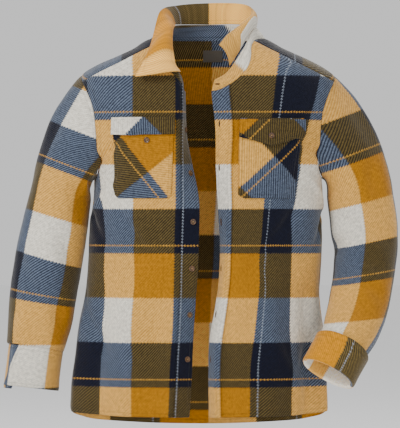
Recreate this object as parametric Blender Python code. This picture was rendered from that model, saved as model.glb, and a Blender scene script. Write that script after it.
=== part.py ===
# Plaid fleece shirt jacket, open at the front and filled out with no wearer.
# Metres. +Z is up, the front faces -Y, and the origin is at the base of the neck, on the shoulder line.
# "right" and "left" in names are the wearer's, so the right front is at -X.

import math

import bmesh
import bpy
from mathutils import Vector
from mathutils.bvhtree import BVHTree

# Cloth
WALL = 0.0025
SEAM_GAP = 0.0003
LAYER_GAP = 0.0008

# Body
BODY_ROUNDNESS = 2.4
HEM_HEIGHT = -0.724
HEM_DROP_FRONT = 0.0150
HEM_DROP_BACK = 0.0400
NECK_HEIGHT = 0.012
NECK_DROP = 0.108
NECK_SPREAD = 25.0
NECK_SIDE_ANGLE = 43.0
YOKE_NECK_ANGLE = 126.0
YOKE_SEAM_REACH = 0.12

# Armholes: an upright closed curve on each side of the body
ARMHOLE_MIDDLE = -0.164
ARMHOLE_HALF_HEIGHT = 0.104
ARMHOLE_ROUNDNESS = 2.3
ARMHOLE_FRONT_ANGLE = 35.5
ARMHOLE_BACK_ANGLE = 34.0
TURNED_NECK_ANGLE = 12.0
ARMHOLE_STEPS = 22
ARMHOLE_STEP = 360.0 / ARMHOLE_STEPS
SHOULDER_TIP_STEPS = 2
YOKE_CORNER_STEPS = 4

# How many pieces of grid each panel has, so that neighbours share the points of their seam
EDGE_STEPS = 4
NECK_STEPS = 7
SINGLE_NECK_STEPS = 4
SEAM_STEPS = 6
SIDE_ROWS = 12
BACK_COLUMNS = 24
BAND_STEPS_RIGHT = 3
BAND_STEPS_LEFT = 4

# The cloth past the line where each front turns in towards the opening
EDGE_WIDTH_RIGHT = 0.048
EDGE_WIDTH_LEFT = 0.036
EDGE_BEND_RADIUS = 0.012

# Level sections of the body, top to bottom
# Columns: height, centre, half_width, front, back
BODY_SECTIONS = (
    (0.040, 0.009, 0.078, 0.054, 0.060),
    (0.022, 0.009, 0.098, 0.064, 0.070),
    (0.004, 0.010, 0.132, 0.080, 0.083),
    (-0.006, 0.011, 0.147, 0.088, 0.088),
    (-0.022, 0.010, 0.182, 0.097, 0.094),
    (-0.038, 0.009, 0.217, 0.106, 0.098),
    (-0.054, 0.009, 0.245, 0.112, 0.101),
    (-0.070, 0.010, 0.260, 0.117, 0.104),
    (-0.094, 0.0106, 0.264, 0.121, 0.107),
    (-0.130, 0.0106, 0.264, 0.124, 0.111),
    (-0.170, 0.0106, 0.262, 0.126, 0.114),
    (-0.210, 0.0106, 0.252, 0.126, 0.114),
    (-0.240, 0.0106, 0.236, 0.125, 0.113),
    (-0.262, 0.0106, 0.229, 0.124, 0.112),
    (-0.300, 0.0100, 0.229, 0.123, 0.111),
    (-0.366, 0.0056, 0.232, 0.121, 0.109),
    (-0.434, 0.0034, 0.2335, 0.120, 0.108),
    (-0.494, -0.001, 0.234, 0.121, 0.110),
    (-0.550, -0.004, 0.242, 0.124, 0.114),
    (-0.610, -0.006, 0.249, 0.128, 0.118),
    (-0.670, -0.008, 0.254, 0.131, 0.122),
    (-0.730, -0.0086, 0.257, 0.133, 0.125),
    (-0.780, -0.0086, 0.258, 0.134, 0.126),
)

# Where each front turns in, and by how much
# Columns: height, line, turn
RIGHT_EDGE = (
    (-0.060, -0.0542, 84.0),
    (-0.098, -0.0542, 80.0),
    (-0.173, -0.0542, 77.0),
    (-0.212, -0.0542, 66.0),
    (-0.251, -0.0542, 50.0),
    (-0.291, -0.0542, 28.0),
    (-0.330, -0.0545, 8.0),
    (-0.390, -0.0560, 3.0),
    (-0.448, -0.0575, 10.0),
    (-0.507, -0.0590, 26.0),
    (-0.566, -0.0607, 32.0),
    (-0.650, -0.0660, 28.0),
    (-0.745, -0.0702, 32.0),
)
LEFT_EDGE = (
    (-0.060, 0.0520, 8.0),
    (-0.098, 0.0525, 8.0),
    (-0.173, 0.0590, 22.0),
    (-0.251, 0.0570, 40.0),
    (-0.330, 0.0590, 48.0),
    (-0.399, 0.0580, 62.0),
    (-0.468, 0.0560, 66.0),
    (-0.527, 0.0480, 62.0),
    (-0.590, 0.0380, 60.0),
    (-0.650, 0.0350, 60.0),
    (-0.745, 0.0370, 60.0),
)

# Folds of the body: a signed angle from the front (left of the wearer is positive), 180 at the back
# Columns: top_angle, foot_angle, top, foot, half_angle, rise
FOLDS = (
    (12.5, 12.5, -0.130, -0.420, 3.2, -0.0060),
    (13.5, 12.0, -0.400, -0.780, 3.4, -0.0060),
    (34.0, 31.0, -0.400, -0.780, 6.0, 0.0055),
    (58.0, 54.0, -0.440, -0.760, 6.5, -0.0065),
    (74.0, 70.0, -0.480, -0.780, 6.0, 0.0045),
    (50.0, 44.0, -0.100, -0.330, 6.0, -0.0035),
    (-22.0, -19.0, -0.420, -0.780, 5.5, -0.0060),
    (-34.0, -31.0, -0.440, -0.780, 6.0, 0.0050),
    (-52.0, -49.0, -0.440, -0.780, 7.0, -0.0060),
    (-70.0, -68.0, -0.470, -0.780, 6.0, 0.0040),
    (-44.0, -52.0, -0.110, -0.300, 6.0, -0.0035),
    (118.0, 121.0, -0.230, -0.700, 7.0, -0.0050),
    (139.0, 142.0, -0.360, -0.780, 8.0, 0.0060),
    (163.0, 160.0, -0.300, -0.780, 8.0, -0.0060),
    (184.0, 187.0, -0.380, -0.780, 8.0, 0.0055),
    (207.0, 204.0, -0.260, -0.780, 8.0, -0.0060),
    (228.0, 226.0, -0.400, -0.780, 8.0, 0.0050),
    (247.0, 244.0, -0.230, -0.680, 7.0, -0.0050),
)

# Rings of each sleeve below the armhole
# Columns: x, y, z, half_width, half_depth
SLEEVE_RIGHT = (
    (-0.285, 0.002, -0.304, 0.0620, 0.066),
    (-0.298, -0.002, -0.374, 0.0660, 0.066),
    (-0.309, -0.006, -0.434, 0.0680, 0.064),
    (-0.318, -0.010, -0.494, 0.0670, 0.062),
    (-0.3254, -0.016, -0.550, 0.0640, 0.058),
    (-0.3344, -0.020, -0.604, 0.0575, 0.053),
    (-0.3385, -0.0225, -0.632, 0.0565, 0.0515),
    (-0.3420, -0.024, -0.658, 0.0568, 0.050),
    (-0.3450, -0.025, -0.684, 0.0575, 0.049),
)
CUFF_RING_RIGHT = 5
SLEEVE_LEFT = (
    (0.3140, 0.002, -0.304, 0.0660, 0.066),
    (0.3216, -0.003, -0.362, 0.0675, 0.066),
    (0.3240, -0.016, -0.410, 0.0640, 0.062),
    (0.3180, -0.036, -0.464, 0.0620, 0.058),
    (0.3090, -0.062, -0.516, 0.0600, 0.054),
    (0.2920, -0.092, -0.567, 0.0560, 0.050),
    (0.2720, -0.117, -0.604, 0.0500, 0.044),
    (0.2590, -0.128, -0.627, 0.0500, 0.043),
    (0.2470, -0.137, -0.648, 0.0505, 0.042),
)
CUFF_RING_LEFT = 6

# Cuffs: the seam's gap in rings, how the left one turns back, and how the right one's ends lap
CUFF_RING_GAP = 0.014
CUFF_SPREAD = 0.0040
CUFF_RIM = 0.0020
CUFF_INNER_SHARE = 0.40
CUFF_RIM_SHARE = 0.60
CUFF_ABOVE_SEAM = 0.12
CUFF_LAP = {"over_top": 58.0, "over_foot": 26.0, "under_top": 82.0, "under_foot": 50.0}
CUFF_LAP_START = 300.0
CUFF_LAP_TURN = 70.0
CUFF_LAP_INSET = 0.0045
CUFF_LAP_DROP = 0.0060

# Folds of the sleeves: where they run along and round the sleeve
# Columns: along, round, half_along, half_round, slant, rise
CREASES_RIGHT = (
    (0.30, 120.0, 0.10, 26.0, 40.0, -0.0045),
    (0.42, 60.0, 0.12, 22.0, -50.0, -0.0040),
    (0.62, 100.0, 0.10, 24.0, 60.0, 0.0035),
    (0.82, 125.0, 0.09, 20.0, 150.0, -0.0060),
    (0.78, 250.0, 0.10, 26.0, -90.0, -0.0045),
    (0.50, 280.0, 0.12, 24.0, 60.0, -0.0040),
)
CREASES_LEFT = (
    (0.22, 130.0, 0.09, 24.0, 60.0, -0.0040),
    (0.36, 60.0, 0.12, 20.0, -30.0, -0.0035),
    (0.58, 150.0, 0.06, 34.0, -260.0, -0.0060),
    (0.70, 130.0, 0.06, 34.0, -260.0, -0.0065),
    (0.82, 110.0, 0.06, 34.0, -240.0, -0.0060),
    (0.50, 250.0, 0.12, 26.0, 70.0, -0.0045),
    (0.72, 260.0, 0.10, 26.0, -80.0, -0.0045),
)

# The collar: where the stand ends, how the leaf rolls, and its free edge, from the right front round
# Columns: angle, stand, roll, edge
COLLAR = (
    (-2.0, (-0.041, -0.084, -0.070), (-0.050, -0.128, -0.074), (-0.110, -0.122, -0.078)),
    (-7.0, (-0.044, -0.099, -0.062), (-0.070, -0.134, -0.066), (-0.1326, -0.119, -0.068)),
    (-12.8, (-0.055, -0.110, -0.046), (-0.084, -0.127, -0.047), (-0.125, -0.115, -0.053)),
    (-25.0, (-0.063, -0.092, -0.010), (-0.085, -0.106, -0.010), (-0.114, -0.105, -0.029)),
    (-45.0, (-0.062, -0.058, 0.026), (-0.080, -0.072, 0.022), (-0.102, -0.082, -0.003)),
    (-70.0, (-0.058, -0.018, 0.036), (-0.078, -0.034, 0.046), (-0.095, -0.046, 0.030)),
    (-90.0, (-0.062, 0.008, 0.0395), (-0.076, 0.000, 0.058), (-0.087, -0.010, 0.067)),
    (-130.0, (-0.042, 0.050, 0.0426), (-0.048, 0.054, 0.064), (-0.053, 0.052, 0.082)),
    (-180.0, (0.012, 0.066, 0.0433), (0.012, 0.070, 0.066), (0.012, 0.072, 0.0876)),
    (-230.0, (0.0685, 0.052, 0.0426), (0.071, 0.060, 0.067), (0.075, 0.058, 0.086)),
    (-270.0, (0.098, 0.015, 0.0367), (0.1035, 0.020, 0.063), (0.097, 0.014, 0.075)),
    (-290.0, (0.1085, -0.018, 0.033), (0.109, -0.019, 0.058), (0.092, -0.030, 0.055)),
    (-315.0, (0.0975, -0.056, 0.024), (0.096, -0.060, 0.044), (0.070, -0.064, 0.036)),
    (-336.0, (0.077, -0.081, -0.014), (0.074, -0.087, 0.010), (0.047, -0.080, 0.018)),
    (-345.5, (0.056, -0.096, -0.046), (0.050, -0.101, -0.022), (0.032, -0.093, -0.002)),
    (-350.0, (0.045, -0.102, -0.059), (0.038, -0.105, -0.034), (0.023, -0.096, -0.012)),
    (-358.0, (0.022, -0.108, -0.073), (0.020, -0.108, -0.050), (0.012, -0.098, -0.022)),
)
LEAF_FIRST = 2
STAND_BULGE = 0.0010
LEAF_LEAN = 0.0040
LEAF_CLEARANCE = 0.0020

# Pockets: corners on the fronts, and the depth of the flap
POCKET_RIGHT = {"top": -0.149, "foot": -0.307, "top_x": (-0.180, -0.0565), "foot_x": (-0.178, -0.0625)}
POCKET_LEFT = {"top": -0.149, "foot": -0.307, "top_x": (0.0735, 0.200), "foot_x": (0.0705, 0.185)}
FLAP_RIGHT = {"top": -0.147, "x": (-0.182, -0.0550), "end": 0.0340, "middle": 0.0350, "point": 0.52}
FLAP_LEFT = {"top": -0.151, "x": (0.0725, 0.202), "end": 0.0350, "middle": 0.0520, "point": 0.47}
FLAP_STAND_OFF = 0.0022
POCKET_CLIP = 0.007
POCKET_CLIP_ACROSS = 0.07
POCKET_CLIP_UP = 0.08

# Buttons
BUTTON_RADIUS = 0.0058
BUTTON_HEIGHT = 0.0028
BUTTON_HEIGHTS = (-0.172, -0.258, -0.3535, -0.445, -0.537, -0.6245)
BUTTON_INSET = 0.0125
BUTTON_GAP = 0.0003
POCKET_BUTTON = (-0.1103, -0.1924)
FLAP_BUTTON_DOWN = 0.62
BUTTON_DROP = 0.006
BUTTON_SIDES = 20
BUTTON_TAPER = 0.88

# Neck label
LABEL = {"left": 0.000, "right": 0.040, "top": -0.006, "foot": -0.030}

FLEECE = {
    "tan": (0.64, 0.42, 0.16),
    "mustard": (0.50, 0.25, 0.03),
    "olive": (0.07, 0.055, 0.025),
    "slate": (0.13, 0.17, 0.24),
    "cream": (0.66, 0.60, 0.50),
    "navy": (0.014, 0.018, 0.04),
}
HORN = (0.22, 0.12, 0.05)


# Folds start and end softly over these shares of their length, and lift the cloth about this radius
FOLD_START = 0.30
FOLD_END = 0.35
FOLD_RADIUS = 0.16

# A sleeve's cap leaves the armhole square to its edge at the top and more straight to the arm lower down
CAP_PULL = 0.36
CAP_TURN_LEAST = 0.25
CAP_UNDER_DROP = -0.25

# Steps for reading directions off the curved pieces
STEP_ANGLE = 0.4
STEP_HEIGHT = 0.001
COLLAR_STEP = 0.004
LEAF_STEP = 0.02


def clear_scene():
    for thing in list(bpy.data.objects):
        bpy.data.objects.remove(thing, do_unlink=True)


def clamp(value):
    return max(0.0, min(1.0, value))


def ease(value):
    value = clamp(value)
    return value * value * (3.0 - 2.0 * value)


def blend(first, second, share):
    return first + (second - first) * share


def signed_power(value, power):
    return math.copysign(abs(value) ** power, value)


def slope_at(rows, index, column):
    low = max(index - 1, 0)
    high = min(index + 1, len(rows) - 1)
    return (rows[high][column] - rows[low][column]) / (rows[high][0] - rows[low][0])


def smooth_read(rows, at, column):
    """Reads a column of a table whose first column falls or rises steadily, along a smooth curve."""
    falling = rows[0][0] > rows[-1][0]
    at = max(min(at, max(rows[0][0], rows[-1][0])), min(rows[0][0], rows[-1][0]))
    index = 0
    while index < len(rows) - 2 and ((rows[index + 1][0] > at) if falling else (rows[index + 1][0] < at)):
        index += 1
    start, end = rows[index][0], rows[index + 1][0]
    width = end - start
    part = (at - start) / width
    return (
        (2 * part**3 - 3 * part**2 + 1) * rows[index][column]
        + (part**3 - 2 * part**2 + part) * width * slope_at(rows, index, column)
        + (3 * part**2 - 2 * part**3) * rows[index + 1][column]
        + (part**3 - part**2) * width * slope_at(rows, index + 1, column)
    )


def smooth_rings(rings, at):
    """Reads every column of a table of rings at a place counted in rows."""
    index = min(int(at), len(rings) - 2)
    part = at - index
    before = rings[max(index - 1, 0)]
    first, second = rings[index], rings[index + 1]
    after = rings[min(index + 2, len(rings) - 1)]
    return [
        (2 * part**3 - 3 * part**2 + 1) * b
        + (part**3 - 2 * part**2 + part) * (c - a) / (2.0 if index else 1.0)
        + (3 * part**2 - 2 * part**3) * c
        + (part**3 - part**2) * (d - b) / (2.0 if index + 2 < len(rings) else 1.0)
        for a, b, c, d in zip(before, first, second, after)
    ]


def fold_rise(angle, height):
    """How far folds lift the cloth at a signed angle (-90 to 270)."""
    total = 0.0
    for top_angle, foot_angle, top, foot, half_angle, rise in FOLDS:
        along = (top - height) / (top - foot)
        middle = blend(top_angle, foot_angle, clamp(along))
        ends = ease(along / FOLD_START) * ease((1.0 + FOLD_END - along) / FOLD_END)
        total += rise * ends * math.exp(-(((angle - middle) / half_angle) ** 2))
    return total


def ring_point(angle, height):
    """A point of the body's level section, without the openings."""
    centre = smooth_read(BODY_SECTIONS, height, 1)
    half_width = smooth_read(BODY_SECTIONS, height, 2)
    turn = math.radians(angle)
    across, ahead = math.sin(turn), math.cos(turn)
    depth = smooth_read(BODY_SECTIONS, height, 3 if ahead > 0 else 4)
    reach = (abs(across) ** BODY_ROUNDNESS + abs(ahead) ** BODY_ROUNDNESS) ** (-1 / BODY_ROUNDNESS)
    lift = 1.0 + fold_rise(angle, height) / FOLD_RADIUS
    return Vector((centre + half_width * across * reach * lift, -depth * ahead * reach * lift, height))


def angle_at(x, height):
    """The unsigned angle, on the front, of the section's point at this x."""
    centre = smooth_read(BODY_SECTIONS, height, 1)
    half_width = smooth_read(BODY_SECTIONS, height, 2)
    across = min(abs(x - centre) / half_width, 0.9999)
    ahead = (1.0 - across**BODY_ROUNDNESS) ** (1 / BODY_ROUNDNESS)
    return math.degrees(math.atan2(across, ahead))


def turn_angle(side, height):
    """Where a front's surface starts to turn in."""
    edge = LEFT_EDGE if side > 0 else RIGHT_EDGE
    return angle_at(smooth_read(edge, height, 1), height)


def body_point(side, angle, height):
    """A point of one side's cloth. Angle 0 is the free front edge and 180 the middle of the back."""
    start = turn_angle(side, height)
    if angle >= start:
        signed = side * angle
        return ring_point(signed + 360.0 if signed < -90.0 else signed, height)
    edge = LEFT_EDGE if side > 0 else RIGHT_EDGE
    width = EDGE_WIDTH_LEFT if side > 0 else EDGE_WIDTH_RIGHT
    past = width * (1.0 - angle / start)
    turned = math.radians(smooth_read(edge, height, 2))
    bend = min(past, EDGE_BEND_RADIUS * turned) / EDGE_BEND_RADIUS
    straight = past - bend * EDGE_BEND_RADIUS
    inward = EDGE_BEND_RADIUS * math.sin(bend) + straight * math.cos(turned)
    back = EDGE_BEND_RADIUS * (1.0 - math.cos(bend)) + straight * math.sin(turned)
    return ring_point(side * start, height) + Vector((-side * inward, back, 0.0))


def body_normal(side, angle, height):
    """The normal, from steps small enough to follow the turned-in edges."""
    round_step = body_point(side, angle + STEP_ANGLE, height) - body_point(side, angle - STEP_ANGLE, height)
    up_step = body_point(side, angle, height + STEP_HEIGHT) - body_point(side, angle, height - STEP_HEIGHT)
    return (round_step.cross(up_step) * side).normalized()


def neck_height(angle):
    return NECK_HEIGHT - NECK_DROP * math.exp(-((angle / NECK_SPREAD) ** 2))


def hem_height(angle):
    ahead = math.cos(math.radians(angle))
    drop = HEM_DROP_FRONT if ahead > 0 else HEM_DROP_BACK
    return HEM_HEIGHT - drop * abs(ahead) ** 0.8


def armhole_point(turn):
    """Angle and height of a point round the armhole: 0 is at the shoulder, 90 in front, 180 below."""
    radians = math.radians(turn)
    height = ARMHOLE_MIDDLE + ARMHOLE_HALF_HEIGHT * signed_power(math.cos(radians), 2 / ARMHOLE_ROUNDNESS)
    widest = ARMHOLE_FRONT_ANGLE if math.sin(radians) > 0 else ARMHOLE_BACK_ANGLE
    angle = 90.0 - widest * signed_power(math.sin(radians), 2 / ARMHOLE_ROUNDNESS)
    return angle, height


def side_edge(up, rows, last_turn):
    """Angle and height up the side seam, and then round the armhole to its last turn."""
    row = up * rows
    if row <= SIDE_ROWS:
        return 90.0, blend(HEM_HEIGHT, ARMHOLE_MIDDLE - ARMHOLE_HALF_HEIGHT, row / SIDE_ROWS)
    share = (row - SIDE_ROWS) / (rows - SIDE_ROWS)
    return armhole_point(blend(math.copysign(180.0, last_turn), last_turn, share))


FRONT_TURN = SHOULDER_TIP_STEPS * ARMHOLE_STEP
FRONT_ROWS = SIDE_ROWS + ARMHOLE_STEPS // 2 - SHOULDER_TIP_STEPS
FRONT_COLUMNS = EDGE_STEPS + NECK_STEPS + SEAM_STEPS
BACK_TURN = -YOKE_CORNER_STEPS * ARMHOLE_STEP
BACK_ROWS = SIDE_ROWS + ARMHOLE_STEPS // 2 - YOKE_CORNER_STEPS
YOKE_SIDE_COLUMNS = SHOULDER_TIP_STEPS + YOKE_CORNER_STEPS
YOKE_COLUMNS = BACK_COLUMNS + 2 * YOKE_SIDE_COLUMNS
HALF_NECK_STEPS = (YOKE_COLUMNS // 2 + SINGLE_NECK_STEPS) // 2
COLLAR_COLUMNS = 2 * (EDGE_STEPS + NECK_STEPS + HALF_NECK_STEPS)
LEAF_LAST = COLLAR_COLUMNS - EDGE_STEPS - 1
SHOULDER_TIP_ANGLE, SHOULDER_TIP_HEIGHT = armhole_point(FRONT_TURN)
YOKE_CORNER_ANGLE, YOKE_SEAM_HEIGHT = armhole_point(BACK_TURN)


def yoke_neck_angle(column):
    """The angle on the neckline of one of the yoke's columns, counted from its front seam to the middle."""
    if column < YOKE_SIDE_COLUMNS:
        share = column / YOKE_SIDE_COLUMNS
        share = blend(share, math.sin(math.radians(90.0 * share)), share)
        return blend(NECK_SIDE_ANGLE, YOKE_NECK_ANGLE, share)
    return blend(YOKE_NECK_ANGLE, 180.0, (column - YOKE_SIDE_COLUMNS) / (BACK_COLUMNS / 2))


def neck_angle(side, column):
    """The angle on the neckline at a column counted from the front edge, where collar and panels meet."""
    start = turn_angle(side, neck_height(TURNED_NECK_ANGLE))
    if column < EDGE_STEPS:
        return start * column / EDGE_STEPS
    if column < EDGE_STEPS + NECK_STEPS:
        return blend(start, NECK_SIDE_ANGLE, (column - EDGE_STEPS) / NECK_STEPS)
    past = column - EDGE_STEPS - NECK_STEPS
    if past > SINGLE_NECK_STEPS:
        past += past - SINGLE_NECK_STEPS
    return yoke_neck_angle(past)


def shoulder_seam(side, share):
    """Angle and height along the front shoulder seam, which is straight from the front."""
    tip = body_point(side, SHOULDER_TIP_ANGLE, SHOULDER_TIP_HEIGHT)
    start = body_point(side, NECK_SIDE_ANGLE, neck_height(NECK_SIDE_ANGLE))
    height = blend(start.z, SHOULDER_TIP_HEIGHT, share)
    return angle_at(blend(start.x, tip.x, share), height), height


class Front:
    """One front panel, from its free edge to the side seam and armhole, and from hem to shoulder."""

    TURN_SHARE = EDGE_STEPS / FRONT_COLUMNS
    NECK_SHARE = (EDGE_STEPS + NECK_STEPS) / FRONT_COLUMNS
    SIDE_LEAN = 0.05

    def __init__(self, side):
        self.side = side

    def spread(self, across, start, end):
        """The angle at a share of the panel's columns, with the turned-in edge having its own."""
        if across < self.TURN_SHARE:
            return start * across / self.TURN_SHARE
        return blend(start, end, (across - self.TURN_SHARE) / (1.0 - self.TURN_SHARE))

    def top(self, across):
        """Angle and height along the neckline and then the shoulder seam."""
        if across > self.NECK_SHARE:
            share = (across - self.NECK_SHARE) / (1.0 - self.NECK_SHARE)
            angle, height = shoulder_seam(self.side, share)
            return angle, height - SEAM_GAP / 3
        angle = neck_angle(self.side, across * FRONT_COLUMNS)
        return angle, neck_height(angle) - SEAM_GAP / 2

    def place(self, across, up):
        """Angle and height at fractions across (from the free edge) and up (from the hem)."""
        side_angle, side_height = side_edge(up, FRONT_ROWS, FRONT_TURN)
        side_angle -= self.SIDE_LEAN
        edge_top = self.top(0.0)[1]
        edge_height = blend(hem_height(0.0), edge_top, up)
        height = blend(edge_height, side_height, across)
        angle = self.spread(across, turn_angle(self.side, height), side_angle)
        height += (1.0 - up) ** 3 * (hem_height(angle) - blend(hem_height(0.0), HEM_HEIGHT, across))
        top_angle, top_height = self.top(across)
        straight_height = blend(edge_top, SHOULDER_TIP_HEIGHT, across)
        straight_start = turn_angle(self.side, straight_height)
        straight_angle = self.spread(across, straight_start, SHOULDER_TIP_ANGLE - self.SIDE_LEAN)
        share = up**4
        return angle + share * (top_angle - straight_angle), height + share * (top_height - straight_height)

    def at(self, across, up):
        angle, height = self.place(across, up)
        return body_point(self.side, angle, height), body_normal(self.side, angle, height)


def back_at(across, up):
    """The back panel: across runs from the wearer's left side seam to the right one."""
    angle, side_height = side_edge(up, BACK_ROWS, BACK_TURN)
    angle += Front.SIDE_LEAN
    turn = blend(angle, 360.0 - angle, across)
    foot = hem_height(blend(90.0, 270.0, across))
    height = side_height + (1.0 - up) ** 3 * (foot - HEM_HEIGHT) - up**8 * SEAM_GAP / 2
    return whole_body(turn, height)


def whole_body(turn, height):
    """Point and normal at a turn counted from the front, through the wearer's left, to 360."""
    if turn <= 180.0:
        return body_point(1, turn, height), body_normal(1, turn, height)
    return body_point(-1, 360.0 - turn, height), body_normal(-1, 360.0 - turn, height)


def yoke_outer(across):
    """The yoke's outer boundary: over one armhole, along the back seam, over the other armhole."""
    mirrored = across > 0.5
    column = YOKE_COLUMNS * (1.0 - across if mirrored else across)
    if column <= YOKE_SIDE_COLUMNS:
        angle, height = armhole_point((SHOULDER_TIP_STEPS - column) * ARMHOLE_STEP)
        height += SEAM_GAP / 2
    else:
        share = (column - YOKE_SIDE_COLUMNS) / (BACK_COLUMNS / 2)
        angle, height = blend(YOKE_CORNER_ANGLE, 180.0, share), YOKE_SEAM_HEIGHT + SEAM_GAP / 2
    return (360.0 - angle if mirrored else angle), height


def yoke_at(across, out):
    """The yoke: across from the left front seam round the back to the right one, out from the neck."""
    mirrored = across > 0.5
    side = -1 if mirrored else 1
    neck_turn = yoke_neck_angle(YOKE_COLUMNS * min(across, 1.0 - across))
    neck = neck_height(neck_turn) - SEAM_GAP / 3
    outer_angle, outer_height = yoke_outer(across)
    angle = blend(360.0 - neck_turn if mirrored else neck_turn, outer_angle, out)
    height = blend(neck, outer_height, out)
    share = clamp(1.0 - min(across, 1.0 - across) / YOKE_SEAM_REACH) ** 2
    seam_angle, seam_height = shoulder_seam(side, out)
    straight_angle = blend(NECK_SIDE_ANGLE, SHOULDER_TIP_ANGLE, out)
    straight_height = blend(neck_height(NECK_SIDE_ANGLE), SHOULDER_TIP_HEIGHT, out)
    shift = share * (seam_angle - straight_angle)
    angle += -shift if mirrored else shift
    height += share * (seam_height - straight_height + SEAM_GAP / 3)
    return whole_body(angle, height)


class Sleeve:
    """A sleeve: a cap from the armhole to the first ring, then a bent tube through the other rings."""

    CAP_SHARE = 0.34
    ROUNDNESS = 2.2

    def __init__(self, side, rings, last, creases=()):
        self.side = side
        self.rings = rings
        self.last = last
        self.creases = creases

    def ring_frame(self, at):
        middle = Vector(smooth_rings(self.rings, at)[:3])
        low, high = max(at - 0.05, 0.0), min(at + 0.05, len(self.rings) - 1.0)
        direction = Vector(smooth_rings(self.rings, high)[:3]) - Vector(smooth_rings(self.rings, low)[:3])
        direction.normalize()
        sideways = Vector((self.side, 0.0, 0.0))
        sideways = (sideways - direction * sideways.dot(direction)).normalized()
        ahead = direction.cross(sideways) * self.side
        return middle, direction, sideways, ahead

    def ring_point(self, at, turn):
        """A point of a ring: turn 0 is its outer side, 90 its front, 180 its inner side."""
        middle, direction, sideways, ahead = self.ring_frame(at)
        half_width, half_depth = smooth_rings(self.rings, at)[3:5]
        radians = math.radians(turn)
        across, along = math.cos(radians), math.sin(radians)
        reach = (abs(across) ** self.ROUNDNESS + abs(along) ** self.ROUNDNESS) ** (-1 / self.ROUNDNESS)
        offset = sideways * (half_width * across * reach) + ahead * (half_depth * along * reach)
        return middle + offset, direction

    def cap_start(self, turn):
        angle, height = armhole_point(turn)
        start = body_point(self.side, angle, height)
        normal = body_normal(self.side, angle, height)
        nearby_angle, nearby_height = armhole_point(turn + 2.0)
        along = body_point(self.side, nearby_angle, nearby_height) - start
        leave = normal.cross(along).normalized() * self.side
        if leave.dot(Vector((self.side, 0.0, 0.0))) < 0.0 and leave.z > 0.0:
            leave = -leave
        upward = math.cos(math.radians(turn))
        low = ease((1.0 - upward) / 2.0)
        end, _ = self.ring_point(0.0, turn)
        chord = (end - start).normalized()
        tangent_share = blend(CAP_TURN_LEAST, 1.0, max(upward, 0.0) ** 2)
        leave = leave * tangent_share + chord * (1.0 - tangent_share)
        under = max(-upward, 0.0) ** 4
        leave = (leave * (1.0 - under) + Vector((self.side, 0.0, CAP_UNDER_DROP)) * under).normalized()
        return start, leave, normal, low

    def crease_rise(self, along, turn):
        total = 0.0
        for middle, around, half_along, half_round, slant, rise in self.creases:
            off = along - middle
            swing = (turn - around - slant * off + 180.0) % 360.0 - 180.0
            total += rise * math.exp(-((off / half_along) ** 2) - (swing / half_round) ** 2)
        return total

    def raw(self, along, turn):
        if along >= self.CAP_SHARE:
            share = (along - self.CAP_SHARE) / (1.0 - self.CAP_SHARE)
            point, direction = self.ring_point(share * self.last, turn)
        else:
            share = along / self.CAP_SHARE
            start, leave, _, _ = self.cap_start(turn)
            end, direction = self.ring_point(0.0, turn)
            reach = (end - start).length
            first = start + leave * (CAP_PULL * reach)
            last = end - direction * (CAP_PULL * reach)
            start = start + leave * LAYER_GAP
            rest = 1.0 - share
            point = start * rest**3 + first * (3 * rest**2 * share) + last * (3 * rest * share**2)
            point = point + end * share**3
        return point

    def at(self, around, along):
        turn = 360.0 * around
        point = self.raw(along, turn)
        step_along, step_turn = 0.004, 1.5
        low, high = max(along - step_along, 0.0), min(along + step_along, 1.0)
        down = self.raw(high, turn) - self.raw(low, turn)
        around_step = self.raw(along, turn + step_turn) - self.raw(along, turn - step_turn)
        normal = (down.cross(around_step) * -self.side).normalized()
        ends = ease(along / 0.12) * ease((1.0 - along) / 0.08)
        point = point + normal * (self.crease_rise(along, turn) * ends)
        if along < 0.12:
            _, _, body, low_share = self.cap_start(turn)
            keep = (1.0 - along / 0.12) * (1.0 - low_share)
            normal = (normal * (1.0 - keep) + body * keep).normalized()
        return point, normal


class Cuff(Sleeve):
    """A straight cuff below its sleeve, whose ends lap: the front one lies over the back one."""

    def __init__(self, side, rings, first):
        super().__init__(side, rings, len(rings) - 1.0)
        self.first = first + CUFF_RING_GAP

    def ring_normal(self, place, turn):
        """Point, direction down the sleeve and outward normal."""
        point, direction = self.ring_point(place, turn)
        nearby, _ = self.ring_point(place, turn + 2.0)
        return point, direction, (direction.cross(nearby - point) * -self.side).normalized()

    def at(self, around, along):
        start = blend(CUFF_LAP["over_top"], CUFF_LAP["over_foot"], along)
        end = 360.0 + blend(CUFF_LAP["under_top"], CUFF_LAP["under_foot"], along)
        turn = blend(start, end, around)
        under = ease((turn - CUFF_LAP_START) / CUFF_LAP_TURN)
        point, direction, normal = self.ring_normal(blend(self.first, self.last, along), turn)
        point = point - normal * (CUFF_LAP_INSET * under) + direction * (CUFF_LAP_DROP * under * along)
        return point, normal


class TurnedCuff(Cuff):
    """A cuff that runs down to the mouth, rolls over and comes back up outside."""

    def at(self, around, along):
        tilt = math.pi * clamp((along - CUFF_INNER_SHARE) / (CUFF_RIM_SHARE - CUFF_INNER_SHARE))
        if along < CUFF_RIM_SHARE:
            place = blend(self.first, self.last, min(along / CUFF_INNER_SHARE, 1.0))
        else:
            share = (along - CUFF_RIM_SHARE) / (1.0 - CUFF_RIM_SHARE)
            place = blend(self.last, self.first - CUFF_ABOVE_SEAM, share)
        point, direction, radial = self.ring_normal(place, 360.0 * around)
        out = CUFF_SPREAD * (1.0 - math.cos(tilt)) / 2.0
        normal = radial * math.cos(tilt) - direction * math.sin(tilt)
        return point + radial * out + direction * (CUFF_RIM * math.sin(tilt)), normal


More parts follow.
